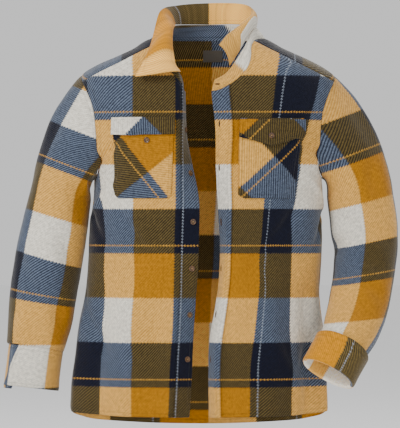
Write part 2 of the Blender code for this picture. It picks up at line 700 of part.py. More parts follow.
class Collar:
    """The stand, which rises from the neckline, and the leaf, which stands or rolls over from its top."""

    def place(self, share):
        """Side and angle on the neckline, from the right front's edge round to the left's."""
        column = share * COLLAR_COLUMNS
        side = -1 if share < 0.5 else 1
        return side, neck_angle(side, min(column, COLLAR_COLUMNS - column))

    def neckline(self, share):
        side, angle = self.place(share)
        height = neck_height(angle)
        return body_point(side, angle, height), body_normal(side, angle, height)

    def row(self, share, which):
        """A point of the collar's table: 1 is the stand's top, 2 the roll and 3 the free edge."""
        side, angle = self.place(share)
        rows = [(-entry[0],) + tuple(entry[which]) for entry in COLLAR]
        turn = angle if side < 0 else 360.0 - angle
        return Vector([smooth_read(rows, turn, column) for column in (1, 2, 3)])

    def near(self, share):
        return max(share - COLLAR_STEP, 0.0), min(share + COLLAR_STEP, 1.0)

    def stand_at(self, share, up):
        base, base_normal = self.neckline(share)
        low, high = self.near(share)
        away = base_normal.cross(self.neckline(high)[0] - self.neckline(low)[0]).normalized()
        if away.z < 0.0:
            away = -away
        top = self.row(share, 1)
        rise = top - base
        point = (base + away * (1.5 * SEAM_GAP)).lerp(top, up)
        point = point + base_normal * (STAND_BULGE * math.sin(math.pi * up))
        around = self.neckline(high)[0].lerp(self.row(high, 1), up)
        around = around - self.neckline(low)[0].lerp(self.row(low, 1), up)
        normal = rise.cross(around).normalized()
        keep = (1.0 - up) ** 2
        return point, (normal * (1.0 - keep) + base_normal * keep).normalized()

    def leaf_point(self, share, out):
        top, roll, edge = self.row(share, 1), self.row(share, 2), self.row(share, 3)
        rest = 1.0 - out
        middle = roll * 2.0 - (top + edge) * 0.5
        return top * rest**2 + middle * (2 * rest * out) + edge * out**2

    def leaf_at(self, across, out):
        share = blend(LEAF_FIRST, LEAF_LAST, across) / COLLAR_COLUMNS
        low, high = self.near(share)
        around = self.leaf_point(high, out) - self.leaf_point(low, out)
        below, above = max(out - LEAF_STEP, 0.0), min(out + LEAF_STEP, 1.0)
        normal = (self.leaf_point(share, above) - self.leaf_point(share, below)).cross(around).normalized()
        rise = (self.row(share, 1) - self.neckline(share)[0]).normalized()
        level = max(normal.dot(rise), 0.0) * (1.0 - out) ** 2
        normal = (normal - rise * level).normalized()
        _, stand_normal = self.stand_at(share, 1.0)
        apart = LEAF_CLEARANCE * (1.0 - normal.dot(stand_normal))
        lean = (1.5 * SEAM_GAP + apart) * (1.0 - out) + LEAF_LEAN * math.sin(math.pi * out)
        return self.leaf_point(share, out) + rise * lean, normal


def on_front(side, x, height, lift):
    """A point over a front, at a place seen from the front, and the cloth's normal there."""
    angle = max(angle_at(x, height), turn_angle(side, height))
    normal = body_normal(side, angle, height)
    return body_point(side, angle, height) + normal * lift, normal


def pocket_at(side, pocket):
    """A pocket over a front: across from its left end, up from its foot, with clipped lower corners."""

    def at(across, up):
        left = blend(pocket["foot_x"][0], pocket["top_x"][0], up)
        right = blend(pocket["foot_x"][1], pocket["top_x"][1], up)
        side_near = clamp(1.0 - min(across, 1.0 - across) / POCKET_CLIP_ACROSS)
        clip = POCKET_CLIP * side_near * clamp(1.0 - up / POCKET_CLIP_UP)
        height = blend(pocket["foot"], pocket["top"], up) + clip
        return on_front(side, blend(left, right, across), height, LAYER_GAP + WALL)

    return at


def flap_at(side, flap):
    """A pocket flap over the pocket's top, standing further off towards its point."""

    def at(across, down):
        side_share = across / flap["point"] if across < flap["point"] else (1 - across) / (1 - flap["point"])
        depth = blend(flap["end"], flap["middle"], side_share)
        lift = 2 * LAYER_GAP + 2 * WALL + FLAP_STAND_OFF * down
        return on_front(side, blend(flap["x"][0], flap["x"][1], across), flap["top"] - depth * down, lift)

    return at


def band_at(front, steps):
    """A band folded over a front's free edge, made from the front's own points."""

    def at(across, up):
        point, normal = front.at(across * steps / FRONT_COLUMNS, up)
        return point + normal * (LAYER_GAP + WALL), normal

    return at


def cloth_shell(name, colour, columns, rows, at, wall=WALL, closed=False):
    """A wall of cloth: a grid is extruded to two layers, and both are moved to the piece's surface."""
    mesh = bmesh.new()
    bmesh.ops.create_grid(mesh, x_segments=columns, y_segments=rows, size=0.5)
    made = bmesh.ops.extrude_face_region(mesh, geom=mesh.faces[:])
    outer = [item for item in made["geom"] if isinstance(item, bmesh.types.BMVert)]
    bmesh.ops.translate(mesh, vec=(0.0, 0.0, 1.0), verts=outer)
    if closed:
        ends = [
            face
            for face in mesh.faces
            if all(abs(abs(corner.co.x) - 0.5) < 1e-6 for corner in face.verts)
        ]
        bmesh.ops.delete(mesh, geom=ends, context="FACES_ONLY")
    known = {}
    for corner in mesh.verts:
        across, up = round(corner.co.x + 0.5, 6), round(corner.co.y + 0.5, 6)
        if closed and across == 1.0:
            across = 0.0
        if (across, up) not in known:
            known[(across, up)] = at(across, up)
        point, normal = known[(across, up)]
        corner.co = point - normal * (wall * (1.0 - corner.co.z))
    if closed:
        bmesh.ops.remove_doubles(mesh, verts=mesh.verts[:], dist=1e-6)
    bmesh.ops.triangulate(mesh, faces=mesh.faces[:])
    bmesh.ops.recalc_face_normals(mesh, faces=mesh.faces[:])
    if mesh.calc_volume(signed=True) < 0.0:
        bmesh.ops.reverse_faces(mesh, faces=mesh.faces[:])
    return add_object(name, mesh, colour, 0.95)


def add_object(name, mesh, colour, roughness):
    data = bpy.data.meshes.new(name)
    mesh.to_mesh(data)
    mesh.free()
    data.shade_smooth()
    data.set_sharp_from_angle(angle=math.radians(50.0))
    thing = bpy.data.objects.new(name, data)
    collection().objects.link(thing)
    material = bpy.data.materials.new(name)
    material.use_nodes = True
    shader = material.node_tree.nodes["Principled BSDF"]
    shader.inputs["Base Color"].default_value = (*colour, 1.0)
    shader.inputs["Roughness"].default_value = roughness
    shader.inputs["Metallic"].default_value = 0.0
    data.materials.append(material)
    return thing


def collection():
    found = bpy.data.collections.get("shirt_jacket")
    if found is None:
        found = bpy.data.collections.new("shirt_jacket")
        bpy.context.scene.collection.children.link(found)
    return found


def button(name, carrier, point, normal):
    """A flat round button with a bevelled rim, set down on the cloth until its underside is just clear."""
    mesh = bmesh.new()
    bmesh.ops.create_cone(
        mesh,
        cap_ends=True,
        segments=BUTTON_SIDES,
        radius1=BUTTON_RADIUS,
        radius2=BUTTON_RADIUS * BUTTON_TAPER,
        depth=BUTTON_HEIGHT,
    )
    thing = add_object(name, mesh, HORN, 0.45)
    cloth = BVHTree.FromObject(carrier, bpy.context.evaluated_depsgraph_get())
    turn = normal.to_track_quat("Z", "Y")
    highest = -BUTTON_DROP
    for spoke in range(BUTTON_SIDES):
        for share in (0.0, 0.5, 1.0):
            around = 2 * math.pi * spoke / BUTTON_SIDES
            flat = Vector((math.cos(around), math.sin(around), 0.0)) * (BUTTON_RADIUS * share)
            start = point + turn @ flat + normal * BUTTON_DROP
            found = cloth.ray_cast(start, -normal, 2 * BUTTON_DROP)[0]
            if found is not None:
                highest = max(highest, (found - point).dot(normal))
    thing.location = point + normal * (highest + BUTTON_GAP + BUTTON_HEIGHT / 2)
    thing.rotation_mode = "QUATERNION"
    thing.rotation_quaternion = turn
    return thing


def build_body(fronts):
    cloth_shell("front_right", FLEECE["tan"], FRONT_COLUMNS, FRONT_ROWS, fronts[-1].at)
    cloth_shell("front_left", FLEECE["tan"], FRONT_COLUMNS, FRONT_ROWS, fronts[1].at)
    cloth_shell("back", FLEECE["mustard"], BACK_COLUMNS, BACK_ROWS, back_at)
    cloth_shell("yoke", FLEECE["navy"], YOKE_COLUMNS, SEAM_STEPS, yoke_at)
    right_band = band_at(fronts[-1], BAND_STEPS_RIGHT)
    left_band = band_at(fronts[1], BAND_STEPS_LEFT)
    cloth_shell("button_band", FLEECE["navy"], BAND_STEPS_RIGHT, FRONT_ROWS, right_band)
    cloth_shell("buttonhole_band", FLEECE["cream"], BAND_STEPS_LEFT, FRONT_ROWS, left_band)


def build_sleeves():
    right = Sleeve(-1, SLEEVE_RIGHT, CUFF_RING_RIGHT, CREASES_RIGHT)
    left = Sleeve(1, SLEEVE_LEFT, CUFF_RING_LEFT, CREASES_LEFT)
    straight = Cuff(-1, SLEEVE_RIGHT, CUFF_RING_RIGHT)
    turned = TurnedCuff(1, SLEEVE_LEFT, CUFF_RING_LEFT)
    cloth_shell("sleeve_right", FLEECE["mustard"], ARMHOLE_STEPS, 18, right.at, closed=True)
    cloth_shell("sleeve_left", FLEECE["tan"], ARMHOLE_STEPS, 20, left.at, closed=True)
    cloth_shell("cuff_right", FLEECE["cream"], ARMHOLE_STEPS, 4, straight.at)
    cloth_shell("cuff_left", FLEECE["mustard"], ARMHOLE_STEPS, 10, turned.at, closed=True)


def build_collar():
    collar = Collar()
    cloth_shell("collar_stand", FLEECE["slate"], COLLAR_COLUMNS, 3, collar.stand_at)
    cloth_shell("collar_leaf", FLEECE["tan"], LEAF_LAST - LEAF_FIRST, 4, collar.leaf_at)


def build_pockets():
    cloth_shell("pocket_right", FLEECE["olive"], 8, 9, pocket_at(-1, POCKET_RIGHT))
    cloth_shell("pocket_left", FLEECE["slate"], 8, 9, pocket_at(1, POCKET_LEFT))
    cloth_shell("flap_right", FLEECE["cream"], 8, 3, flap_at(-1, FLAP_RIGHT))
    cloth_shell("flap_left", FLEECE["olive"], 8, 3, flap_at(1, FLAP_LEFT))


def build_buttons():
    for number, height in enumerate(BUTTON_HEIGHTS, 1):
        angle = turn_angle(-1, height) * BUTTON_INSET / EDGE_WIDTH_RIGHT
        normal = body_normal(-1, angle, height)
        point = body_point(-1, angle, height) + normal * (LAYER_GAP + WALL)
        button(f"button_{number}", bpy.data.objects["button_band"], point, normal)
    point, normal = on_front(-1, *POCKET_BUTTON, LAYER_GAP + WALL)
    button("flap_button_right", bpy.data.objects["pocket_right"], point, normal)
    point, normal = flap_at(1, FLAP_LEFT)(FLAP_LEFT["point"], FLAP_BUTTON_DOWN)
    button("flap_button_left", bpy.data.objects["flap_left"], point, normal)


def build_label():
    def at(across, up):
        x = blend(LABEL["left"], LABEL["right"], across)
        height = blend(LABEL["foot"], LABEL["top"], up)
        angle = 180.0 - angle_at(x, height)
        side = 1 if x > smooth_read(BODY_SECTIONS, height, 1) else -1
        normal = body_normal(side, angle, height)
        return body_point(side, angle, height) - normal * (WALL + LAYER_GAP), normal

    cloth_shell("neck_label", FLEECE["slate"], 4, 3, at, wall=0.001)


def main():
    clear_scene()
    fronts = {-1: Front(-1), 1: Front(1)}
    build_body(fronts)
    build_sleeves()
    build_collar()
    build_pockets()
    build_buttons()
    build_label()


main()
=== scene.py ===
# Plaid fleece shirt jacket, open at the front and filled out with no wearer.
# Metres: +Z is up, the front faces -Y, and the origin is at the base of the neck, on the shoulder line.
import math

import bmesh
import bpy
from mathutils import Matrix, Vector, noise


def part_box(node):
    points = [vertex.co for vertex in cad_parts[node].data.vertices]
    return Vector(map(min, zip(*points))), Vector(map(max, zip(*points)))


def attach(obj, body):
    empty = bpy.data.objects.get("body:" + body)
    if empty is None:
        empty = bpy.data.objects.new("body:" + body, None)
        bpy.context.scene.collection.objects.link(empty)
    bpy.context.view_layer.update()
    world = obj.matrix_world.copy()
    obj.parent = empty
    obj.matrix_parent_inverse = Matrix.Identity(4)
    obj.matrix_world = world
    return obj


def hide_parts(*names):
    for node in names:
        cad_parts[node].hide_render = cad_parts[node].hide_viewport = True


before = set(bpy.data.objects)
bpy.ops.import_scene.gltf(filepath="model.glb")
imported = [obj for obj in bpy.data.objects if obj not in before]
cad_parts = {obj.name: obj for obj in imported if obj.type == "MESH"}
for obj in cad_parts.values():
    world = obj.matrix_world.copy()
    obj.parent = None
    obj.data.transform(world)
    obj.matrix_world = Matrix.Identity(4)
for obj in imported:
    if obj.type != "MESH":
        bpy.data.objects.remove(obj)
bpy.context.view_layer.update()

# What all the cloth shares
cloth = {
    "wall": 0.0025,  # thickness of the fleece
    "gap": 0.0003,  # between pieces at a seam
    "layer": 0.0008,  # between a panel and what is sewn on it
    "pitch": 0.0052,  # size of one square of the finest grid
    "ripple": 0.0014,  # soft unevenness over the whole cloth
    "creaseDepth": 1.5,  # how much deeper the short creases are than in their tables
}

# Level sections of the body, top to bottom: height, centre, half width, front, back
bodySections = (
    (0.040, 0.009, 0.078, 0.054, 0.060),
    (0.022, 0.009, 0.098, 0.064, 0.070),
    (0.004, 0.010, 0.132, 0.080, 0.083),
    (-0.006, 0.011, 0.147, 0.088, 0.088),
    (-0.022, 0.010, 0.182, 0.097, 0.094),
    (-0.038, 0.009, 0.217, 0.106, 0.098),
    (-0.054, 0.009, 0.245, 0.112, 0.101),
    (-0.070, 0.010, 0.260, 0.117, 0.104),
    (-0.094, 0.0106, 0.264, 0.121, 0.107),
    (-0.130, 0.0106, 0.264, 0.124, 0.111),
    (-0.170, 0.0106, 0.262, 0.126, 0.114),
    (-0.210, 0.0106, 0.252, 0.126, 0.114),
    (-0.240, 0.0106, 0.236, 0.125, 0.113),
    (-0.262, 0.0106, 0.229, 0.124, 0.112),
    (-0.300, 0.0100, 0.229, 0.123, 0.111),
    (-0.366, 0.0056, 0.232, 0.121, 0.109),
    (-0.434, 0.0034, 0.2335, 0.120, 0.108),
    (-0.494, -0.001, 0.234, 0.121, 0.110),
    (-0.550, -0.004, 0.242, 0.124, 0.114),
    (-0.610, -0.006, 0.249, 0.128, 0.118),
    (-0.670, -0.008, 0.254, 0.131, 0.122),
    (-0.730, -0.0086, 0.257, 0.133, 0.125),
    (-0.780, -0.0086, 0.258, 0.134, 0.126),
)

# Where each front turns in, by side (-1 is the wearer's right): height, line, turn
edges = {
    -1: (
        (-0.060, -0.0542, 84.0),
        (-0.098, -0.0542, 80.0),
        (-0.173, -0.0542, 77.0),
        (-0.212, -0.0542, 66.0),
        (-0.251, -0.0542, 50.0),
        (-0.291, -0.0542, 28.0),
        (-0.330, -0.0545, 8.0),
        (-0.390, -0.0560, 3.0),
        (-0.448, -0.0575, 10.0),
        (-0.507, -0.0590, 26.0),
        (-0.566, -0.0607, 32.0),
        (-0.650, -0.0660, 28.0),
        (-0.745, -0.0702, 32.0),
    ),
    1: (
        (-0.060, 0.0520, 8.0),
        (-0.098, 0.0525, 8.0),
        (-0.173, 0.0590, 22.0),
        (-0.251, 0.0570, 40.0),
        (-0.330, 0.0590, 48.0),
        (-0.399, 0.0580, 62.0),
        (-0.468, 0.0560, 66.0),
        (-0.527, 0.0480, 62.0),
        (-0.590, 0.0380, 60.0),
        (-0.650, 0.0350, 60.0),
        (-0.745, 0.0370, 60.0),
    ),
}
edgeWidth = {-1: 0.048, 1: 0.036}
edgeBend = 0.012

# Long folds of the body: signed angles from the front at top and foot, top, foot, half angle, rise
folds = (
    (12.5, 12.5, -0.130, -0.420, 3.2, -0.0060),
    (13.5, 12.0, -0.400, -0.780, 3.4, -0.0060),
    (34.0, 31.0, -0.400, -0.780, 6.0, 0.0055),
    (58.0, 54.0, -0.440, -0.760, 6.5, -0.0065),
    (74.0, 70.0, -0.480, -0.780, 6.0, 0.0045),
    (50.0, 44.0, -0.100, -0.330, 6.0, -0.0035),
    (-22.0, -19.0, -0.420, -0.780, 5.5, -0.0060),
    (-34.0, -31.0, -0.440, -0.780, 6.0, 0.0050),
    (-52.0, -49.0, -0.440, -0.780, 7.0, -0.0060),
    (-70.0, -68.0, -0.470, -0.780, 6.0, 0.0040),
    (-44.0, -52.0, -0.110, -0.300, 6.0, -0.0035),
    (118.0, 121.0, -0.230, -0.700, 7.0, -0.0050),
    (139.0, 142.0, -0.360, -0.780, 8.0, 0.0060),
    (163.0, 160.0, -0.300, -0.780, 8.0, -0.0060),
    (184.0, 187.0, -0.380, -0.780, 8.0, 0.0055),
    (207.0, 204.0, -0.260, -0.780, 8.0, -0.0060),
    (228.0, 226.0, -0.400, -0.780, 8.0, 0.0050),
    (247.0, 244.0, -0.230, -0.680, 7.0, -0.0050),
)

# Short creases, listed one by one: angle, height, degrees it leans over 0.1 m, half angle, half height, rise
creases = (
    (-66.0, -0.240, -60.0, 5.0, 0.050, -0.0040),
    (-60.0, -0.300, -50.0, 4.5, 0.040, 0.0025),
    (-80.0, -0.330, 40.0, 5.0, 0.060, -0.0030),
    (-40.0, -0.360, 22.0, 4.0, 0.050, -0.0030),
    (-28.0, -0.390, 16.0, 3.5, 0.040, 0.0020),
    (-60.0, -0.560, 26.0, 5.0, 0.060, -0.0030),
    (-26.0, -0.600, -14.0, 4.0, 0.060, -0.0025),
    (66.0, -0.230, 60.0, 5.0, 0.050, -0.0040),
    (72.0, -0.300, 44.0, 4.5, 0.040, 0.0025),
    (82.0, -0.350, -36.0, 5.0, 0.055, -0.0030),
    (38.0, -0.370, -24.0, 4.0, 0.050, -0.0030),
    (26.0, -0.430, 18.0, 3.5, 0.050, -0.0025),
    (60.0, -0.600, -22.0, 5.0, 0.060, -0.0030),
    (40.0, -0.640, 16.0, 4.0, 0.050, 0.0025),
    (112.0, -0.300, -50.0, 6.0, 0.050, -0.0040),
    (126.0, -0.420, -40.0, 6.0, 0.050, -0.0030),
    (150.0, -0.250, -30.0, 6.0, 0.060, -0.0035),
    (172.0, -0.480, 24.0, 6.0, 0.060, -0.0030),
    (196.0, -0.350, -20.0, 6.0, 0.050, -0.0030),
    (215.0, -0.270, 34.0, 6.0, 0.060, -0.0035),
    (236.0, -0.440, 44.0, 6.0, 0.050, -0.0030),
    (250.0, -0.320, 50.0, 6.0, 0.050, -0.0040),
)

roundness = 2.4
hemHeight, hemDropFront, hemDropBack = -0.724, 0.015, 0.040
neckTop, neckDrop, neckSpread, neckSideAngle, yokeNeckAngle = 0.012, 0.108, 25.0, 43.0, 126.0
armholeMiddle, armholeHalf, armholeRoundness = -0.164, 0.104, 2.3
armholeFront, armholeBack = 35.5, 34.0
armholeStep = 360.0 / 22
foldStart, foldEnd, foldRadius = 0.30, 0.35, 0.16  # how softly folds start and end, and their radius
angleStep, heightStep = 0.4, 0.001  # steps for reading directions off the body
# Steps of the cut: seams of neighbours are counted in the same steps
sideRows, frontRows, backRows = 12, 21, 19
edgeSteps, neckSteps, seamSteps, singleSteps = 4, 7, 6, 4
frontColumns = edgeSteps + neckSteps + seamSteps
yokeSide, backColumns = 6, 24
yokeColumns = backColumns + 2 * yokeSide
collarColumns = 44

# Sleeves by side: rings below the armhole (x, y, z, half width, half depth), how many make the sleeve,
# and creases (along, round, half along, half round, slant, rise)
sleeves = {
    -1: {
        "rings": (
            (-0.285, 0.002, -0.304, 0.0620, 0.066),
            (-0.298, -0.002, -0.374, 0.0660, 0.066),
            (-0.309, -0.006, -0.434, 0.0680, 0.064),
            (-0.318, -0.010, -0.494, 0.0670, 0.062),
            (-0.3254, -0.016, -0.550, 0.0640, 0.058),
            (-0.3344, -0.020, -0.604, 0.0575, 0.053),
            (-0.3385, -0.0225, -0.632, 0.0565, 0.0515),
            (-0.3420, -0.024, -0.658, 0.0568, 0.050),
            (-0.3450, -0.025, -0.684, 0.0575, 0.049),
        ),
        "last": 5,
        "creases": (
            (0.30, 120.0, 0.10, 26.0, 40.0, -0.0045),
            (0.42, 60.0, 0.12, 22.0, -50.0, -0.0040),
            (0.62, 100.0, 0.10, 24.0, 60.0, 0.0035),
            (0.82, 125.0, 0.09, 20.0, 150.0, -0.0060),
            (0.78, 250.0, 0.10, 26.0, -90.0, -0.0045),
            (0.50, 280.0, 0.12, 24.0, 60.0, -0.0040),
            (0.16, 150.0, 0.05, 16.0, 220.0, -0.0035),
            (0.24, 70.0, 0.06, 14.0, -160.0, -0.0030),
            (0.36, 140.0, 0.05, 18.0, -200.0, -0.0035),
            (0.52, 110.0, 0.06, 16.0, 240.0, -0.0030),
            (0.60, 40.0, 0.07, 14.0, 120.0, -0.0030),
            (0.72, 70.0, 0.06, 15.0, 260.0, -0.0035),
            (0.90, 60.0, 0.05, 14.0, -120.0, 0.0030),
            (0.40, 220.0, 0.06, 18.0, 160.0, -0.0030),
            (0.66, 300.0, 0.06, 18.0, -180.0, -0.0030),
        ),
    },
    1: {
        "rings": (
            (0.3140, 0.002, -0.304, 0.0660, 0.066),
            (0.3216, -0.003, -0.362, 0.0675, 0.066),
            (0.3240, -0.016, -0.410, 0.0640, 0.062),
            (0.3180, -0.036, -0.464, 0.0620, 0.058),
            (0.3090, -0.062, -0.516, 0.0600, 0.054),
            (0.2920, -0.092, -0.567, 0.0560, 0.050),
            (0.2720, -0.117, -0.604, 0.0500, 0.044),
            (0.2590, -0.128, -0.627, 0.0500, 0.043),
            (0.2470, -0.137, -0.648, 0.0505, 0.042),
        ),
        "last": 6,
        "creases": (
            (0.22, 130.0, 0.09, 24.0, 60.0, -0.0040),
            (0.36, 60.0, 0.12, 20.0, -30.0, -0.0035),
            (0.58, 150.0, 0.06, 34.0, -260.0, -0.0060),
            (0.70, 130.0, 0.06, 34.0, -260.0, -0.0065),
            (0.82, 110.0, 0.06, 34.0, -240.0, -0.0060),
            (0.50, 250.0, 0.12, 26.0, 70.0, -0.0045),
            (0.72, 260.0, 0.10, 26.0, -80.0, -0.0045),
            (0.15, 100.0, 0.05, 16.0, -200.0, -0.0030),
            (0.28, 60.0, 0.05, 16.0, 180.0, -0.0030),
            (0.44, 120.0, 0.05, 18.0, -240.0, -0.0035),
            (0.52, 70.0, 0.04, 22.0, -300.0, -0.0035),
            (0.64, 80.0, 0.04, 24.0, -320.0, -0.0040),
            (0.76, 60.0, 0.04, 24.0, -300.0, -0.0040),
            (0.90, 100.0, 0.04, 20.0, 160.0, -0.0030),
            (0.40, 300.0, 0.06, 18.0, 140.0, -0.0030),
        ),
    },
}
capShare, sleeveRoundness = 0.34, 2.2
capPull, capTurnLeast, capUnderDrop = 0.36, 0.25, -0.25  # how the cap leaves the armhole
capFade, footFade = 0.12, 0.08  # creases start and end over these shares of the sleeve
sleeveSeam = -145.0  # the turn where the closed tubes start, at the inner back
turnStep, alongStep = 1.5, 0.004  # steps for reading directions off a sleeve
cuffGap, cuffSpread, cuffRim, cuffInner, cuffTurn, cuffAbove = 0.014, 0.0040, 0.0020, 0.40, 0.60, 0.12
# The right cuff's open lap: turns of its ends, and how far the lower end goes in and slides down
cuffLap = {
    "overTop": 58.0,
    "overFoot": 26.0,
    "underTop": 82.0,
    "underFoot": 50.0,
    "start": 300.0,
    "length": 70.0,
    "depth": 0.0045,
    "slide": 0.0060,
}

# The collar from the right front round: angle, then the stand's top, the roll and the free edge
collarRows = (
    (-2.0, (-0.041, -0.084, -0.070), (-0.050, -0.128, -0.074), (-0.110, -0.122, -0.078)),
    (-7.0, (-0.044, -0.099, -0.062), (-0.070, -0.134, -0.066), (-0.1326, -0.119, -0.068)),
    (-12.8, (-0.055, -0.110, -0.046), (-0.084, -0.127, -0.047), (-0.125, -0.115, -0.053)),
    (-25.0, (-0.063, -0.092, -0.010), (-0.085, -0.106, -0.010), (-0.114, -0.105, -0.029)),
    (-45.0, (-0.062, -0.058, 0.026), (-0.080, -0.072, 0.022), (-0.102, -0.082, -0.003)),
    (-70.0, (-0.058, -0.018, 0.036), (-0.078, -0.034, 0.046), (-0.095, -0.046, 0.030)),
    (-90.0, (-0.062, 0.008, 0.0395), (-0.076, 0.000, 0.058), (-0.087, -0.010, 0.067)),
    (-130.0, (-0.042, 0.050, 0.0426), (-0.048, 0.054, 0.064), (-0.053, 0.052, 0.082)),
    (-180.0, (0.012, 0.066, 0.0433), (0.012, 0.070, 0.066), (0.012, 0.072, 0.0876)),
    (-230.0, (0.0685, 0.052, 0.0426), (0.071, 0.060, 0.067), (0.075, 0.058, 0.086)),
    (-270.0, (0.098, 0.015, 0.0367), (0.1035, 0.020, 0.063), (0.097, 0.014, 0.075)),
    (-290.0, (0.1085, -0.018, 0.033), (0.109, -0.019, 0.058), (0.092, -0.030, 0.055)),
    (-315.0, (0.0975, -0.056, 0.024), (0.096, -0.060, 0.044), (0.070, -0.064, 0.036)),
    (-336.0, (0.077, -0.081, -0.014), (0.074, -0.087, 0.010), (0.047, -0.080, 0.018)),
    (-345.5, (0.056, -0.096, -0.046), (0.050, -0.101, -0.022), (0.032, -0.093, -0.002)),
    (-350.0, (0.045, -0.102, -0.059), (0.038, -0.105, -0.034), (0.023, -0.096, -0.012)),
    (-358.0, (0.022, -0.108, -0.073), (0.020, -0.108, -0.050), (0.012, -0.098, -0.022)),
)
leafFirst, leafLast = 2, 39
standBulge, leafBulge, leafApart = 0.001, 0.004, 0.002
collarStep, leafStep = 0.004, 0.02  # steps for reading directions off the collar

# Pockets and flaps: corners, and how the bias cut lies (a point, its place in the plaid, and the turn)
pockets = {
    "pocket_right": {
        "side": -1,
        "top": -0.149,
        "foot": -0.307,
        "topX": (-0.180, -0.0565),
        "footX": (-0.178, -0.0625),
        "bias": (-0.1772, -0.1924, 0.272, 0.074, 128.5),
    },
    "pocket_left": {
        "side": 1,
        "top": -0.149,
        "foot": -0.307,
        "topX": (0.0735, 0.200),
        "footX": (0.0705, 0.185),
        "bias": (0.0747, -0.3065, 0.194, 0.074, 223.5),
    },
}
pocketClip = 0.007  # how far the foot's corners are cut off
flaps = {
    "flap_right": {
        "side": -1,
        "top": -0.147,
        "x": (-0.182, -0.0550),
        "end": 0.0340,
        "middle": 0.0350,
        "point": 0.52,
        "bias": (-0.1379, -0.1668, 0.149, 0.0, 45.0),
    },
    "flap_left": {
        "side": 1,
        "top": -0.151,
        "x": (0.0725, 0.202),
        "end": 0.0350,
        "middle": 0.0520,
        "point": 0.47,
        "bias": (0.0963, -0.1629, 0.245, 0.09, 225.0),
    },
}


def clamp(value):
    return max(0.0, min(1.0, value))


def ease(value):
    value = clamp(value)
    return value * value * (3.0 - 2.0 * value)


def blend(first, second, share):
    return first + (second - first) * share


def signedPower(value, power):
    return math.copysign(abs(value) ** power, value)


def slopeAt(rows, index, column):
    low, high = max(index - 1, 0), min(index + 1, len(rows) - 1)
    return (rows[high][column] - rows[low][column]) / (rows[high][0] - rows[low][0])


def smoothRead(rows, at, column):
    # Reads a column of a table along a smooth curve
    falling = rows[0][0] > rows[-1][0]
    at = max(min(at, max(rows[0][0], rows[-1][0])), min(rows[0][0], rows[-1][0]))
    index = 0
    while index < len(rows) - 2 and ((rows[index + 1][0] > at) if falling else (rows[index + 1][0] < at)):
        index += 1
    width = rows[index + 1][0] - rows[index][0]
    part = (at - rows[index][0]) / width
    return (
        (2 * part**3 - 3 * part**2 + 1) * rows[index][column]
        + (part**3 - 2 * part**2 + part) * width * slopeAt(rows, index, column)
        + (3 * part**2 - 2 * part**3) * rows[index + 1][column]
        + (part**3 - part**2) * width * slopeAt(rows, index + 1, column)
    )


def straightRead(rows, at, column=1):
    # Reads a column of a rising table along straight lines, and past its ends too
    index = 0
    while index < len(rows) - 2 and rows[index + 1][0] < at:
        index += 1
    first, second = rows[index], rows[index + 1]
    return blend(first[column], second[column], (at - first[0]) / (second[0] - first[0]))


def smoothRings(rings, at):
    index = min(int(at), len(rings) - 2)
    part = at - index
    before, after = rings[max(index - 1, 0)], rings[min(index + 2, len(rings) - 1)]
    return [
        (2 * part**3 - 3 * part**2 + 1) * b
        + (part**3 - 2 * part**2 + part) * (c - a) / (2.0 if index else 1.0)
        + (3 * part**2 - 2 * part**3) * c
        + (part**3 - part**2) * (d - b) / (2.0 if index + 2 < len(rings) else 1.0)
        for a, b, c, d in zip(before, rings[index], rings[index + 1], after)
    ]


# The body
def foldRise(angle, height):
    total = 0.0
    for topAngle, footAngle, top, foot, halfAngle, rise in folds:
        along = (top - height) / (top - foot)
        middle = blend(topAngle, footAngle, clamp(along))
        off = (angle - middle) / halfAngle
        if abs(off) < 3.0:
            ends = ease(along / foldStart) * ease((1.0 + foldEnd - along) / foldEnd)
            total += rise * ends * math.exp(-off * off)
    for middle, level, lean, halfAngle, halfHeight, rise in creases:
        down = (level - height) / halfHeight
        off = (angle - middle - lean * (level - height) * 10.0) / halfAngle
        if abs(off) < 3.0 and abs(down) < 3.0:
            total += cloth["creaseDepth"] * rise * math.exp(-off * off - down * down)
    return total


def ringPoint(angle, height, lifted=True):
    centre = smoothRead(bodySections, height, 1)
    halfWidth = smoothRead(bodySections, height, 2)
    across, ahead = math.sin(math.radians(angle)), math.cos(math.radians(angle))
    depth = smoothRead(bodySections, height, 3 if ahead > 0 else 4)
    reach = (abs(across) ** roundness + abs(ahead) ** roundness) ** (-1 / roundness)
    if lifted:
        reach *= 1.0 + foldRise(angle, height) / foldRadius
    return Vector((centre + halfWidth * across * reach, -depth * ahead * reach, height))


def angleAt(x, height):
    across = min(abs(x - smoothRead(bodySections, height, 1)) / smoothRead(bodySections, height, 2), 0.9999)
    return math.degrees(math.atan2(across, (1.0 - across**roundness) ** (1 / roundness)))


def turnAngle(side, height):
    return angleAt(smoothRead(edges[side], height, 1), height)


def bodyPoint(side, angle, height):
    # Angle 0 is the free front edge and 180 the middle of the back
    start = turnAngle(side, height)
    if angle >= start:
        signed = side * angle
        return ringPoint(signed + 360.0 if signed < -90.0 else signed, height)
    past = edgeWidth[side] * (1.0 - angle / start)
    turned = math.radians(smoothRead(edges[side], height, 2))
    bend = min(past, edgeBend * turned) / edgeBend
    straight = past - bend * edgeBend
    inward = edgeBend * math.sin(bend) + straight * math.cos(turned)
    back = edgeBend * (1.0 - math.cos(bend)) + straight * math.sin(turned)
    return ringPoint(side * start, height) + Vector((-side * inward, back, 0.0))


def bodyNormal(side, angle, height):
    roundStep = bodyPoint(side, angle + angleStep, height) - bodyPoint(side, angle - angleStep, height)
    upStep = bodyPoint(side, angle, height + heightStep) - bodyPoint(side, angle, height - heightStep)
    return (roundStep.cross(upStep) * side).normalized()


def neckHeight(angle):
    return neckTop - neckDrop * math.exp(-((angle / neckSpread) ** 2))


def hemAt(angle):
    ahead = math.cos(math.radians(angle))
    return hemHeight - (hemDropFront if ahead > 0 else hemDropBack) * abs(ahead) ** 0.8


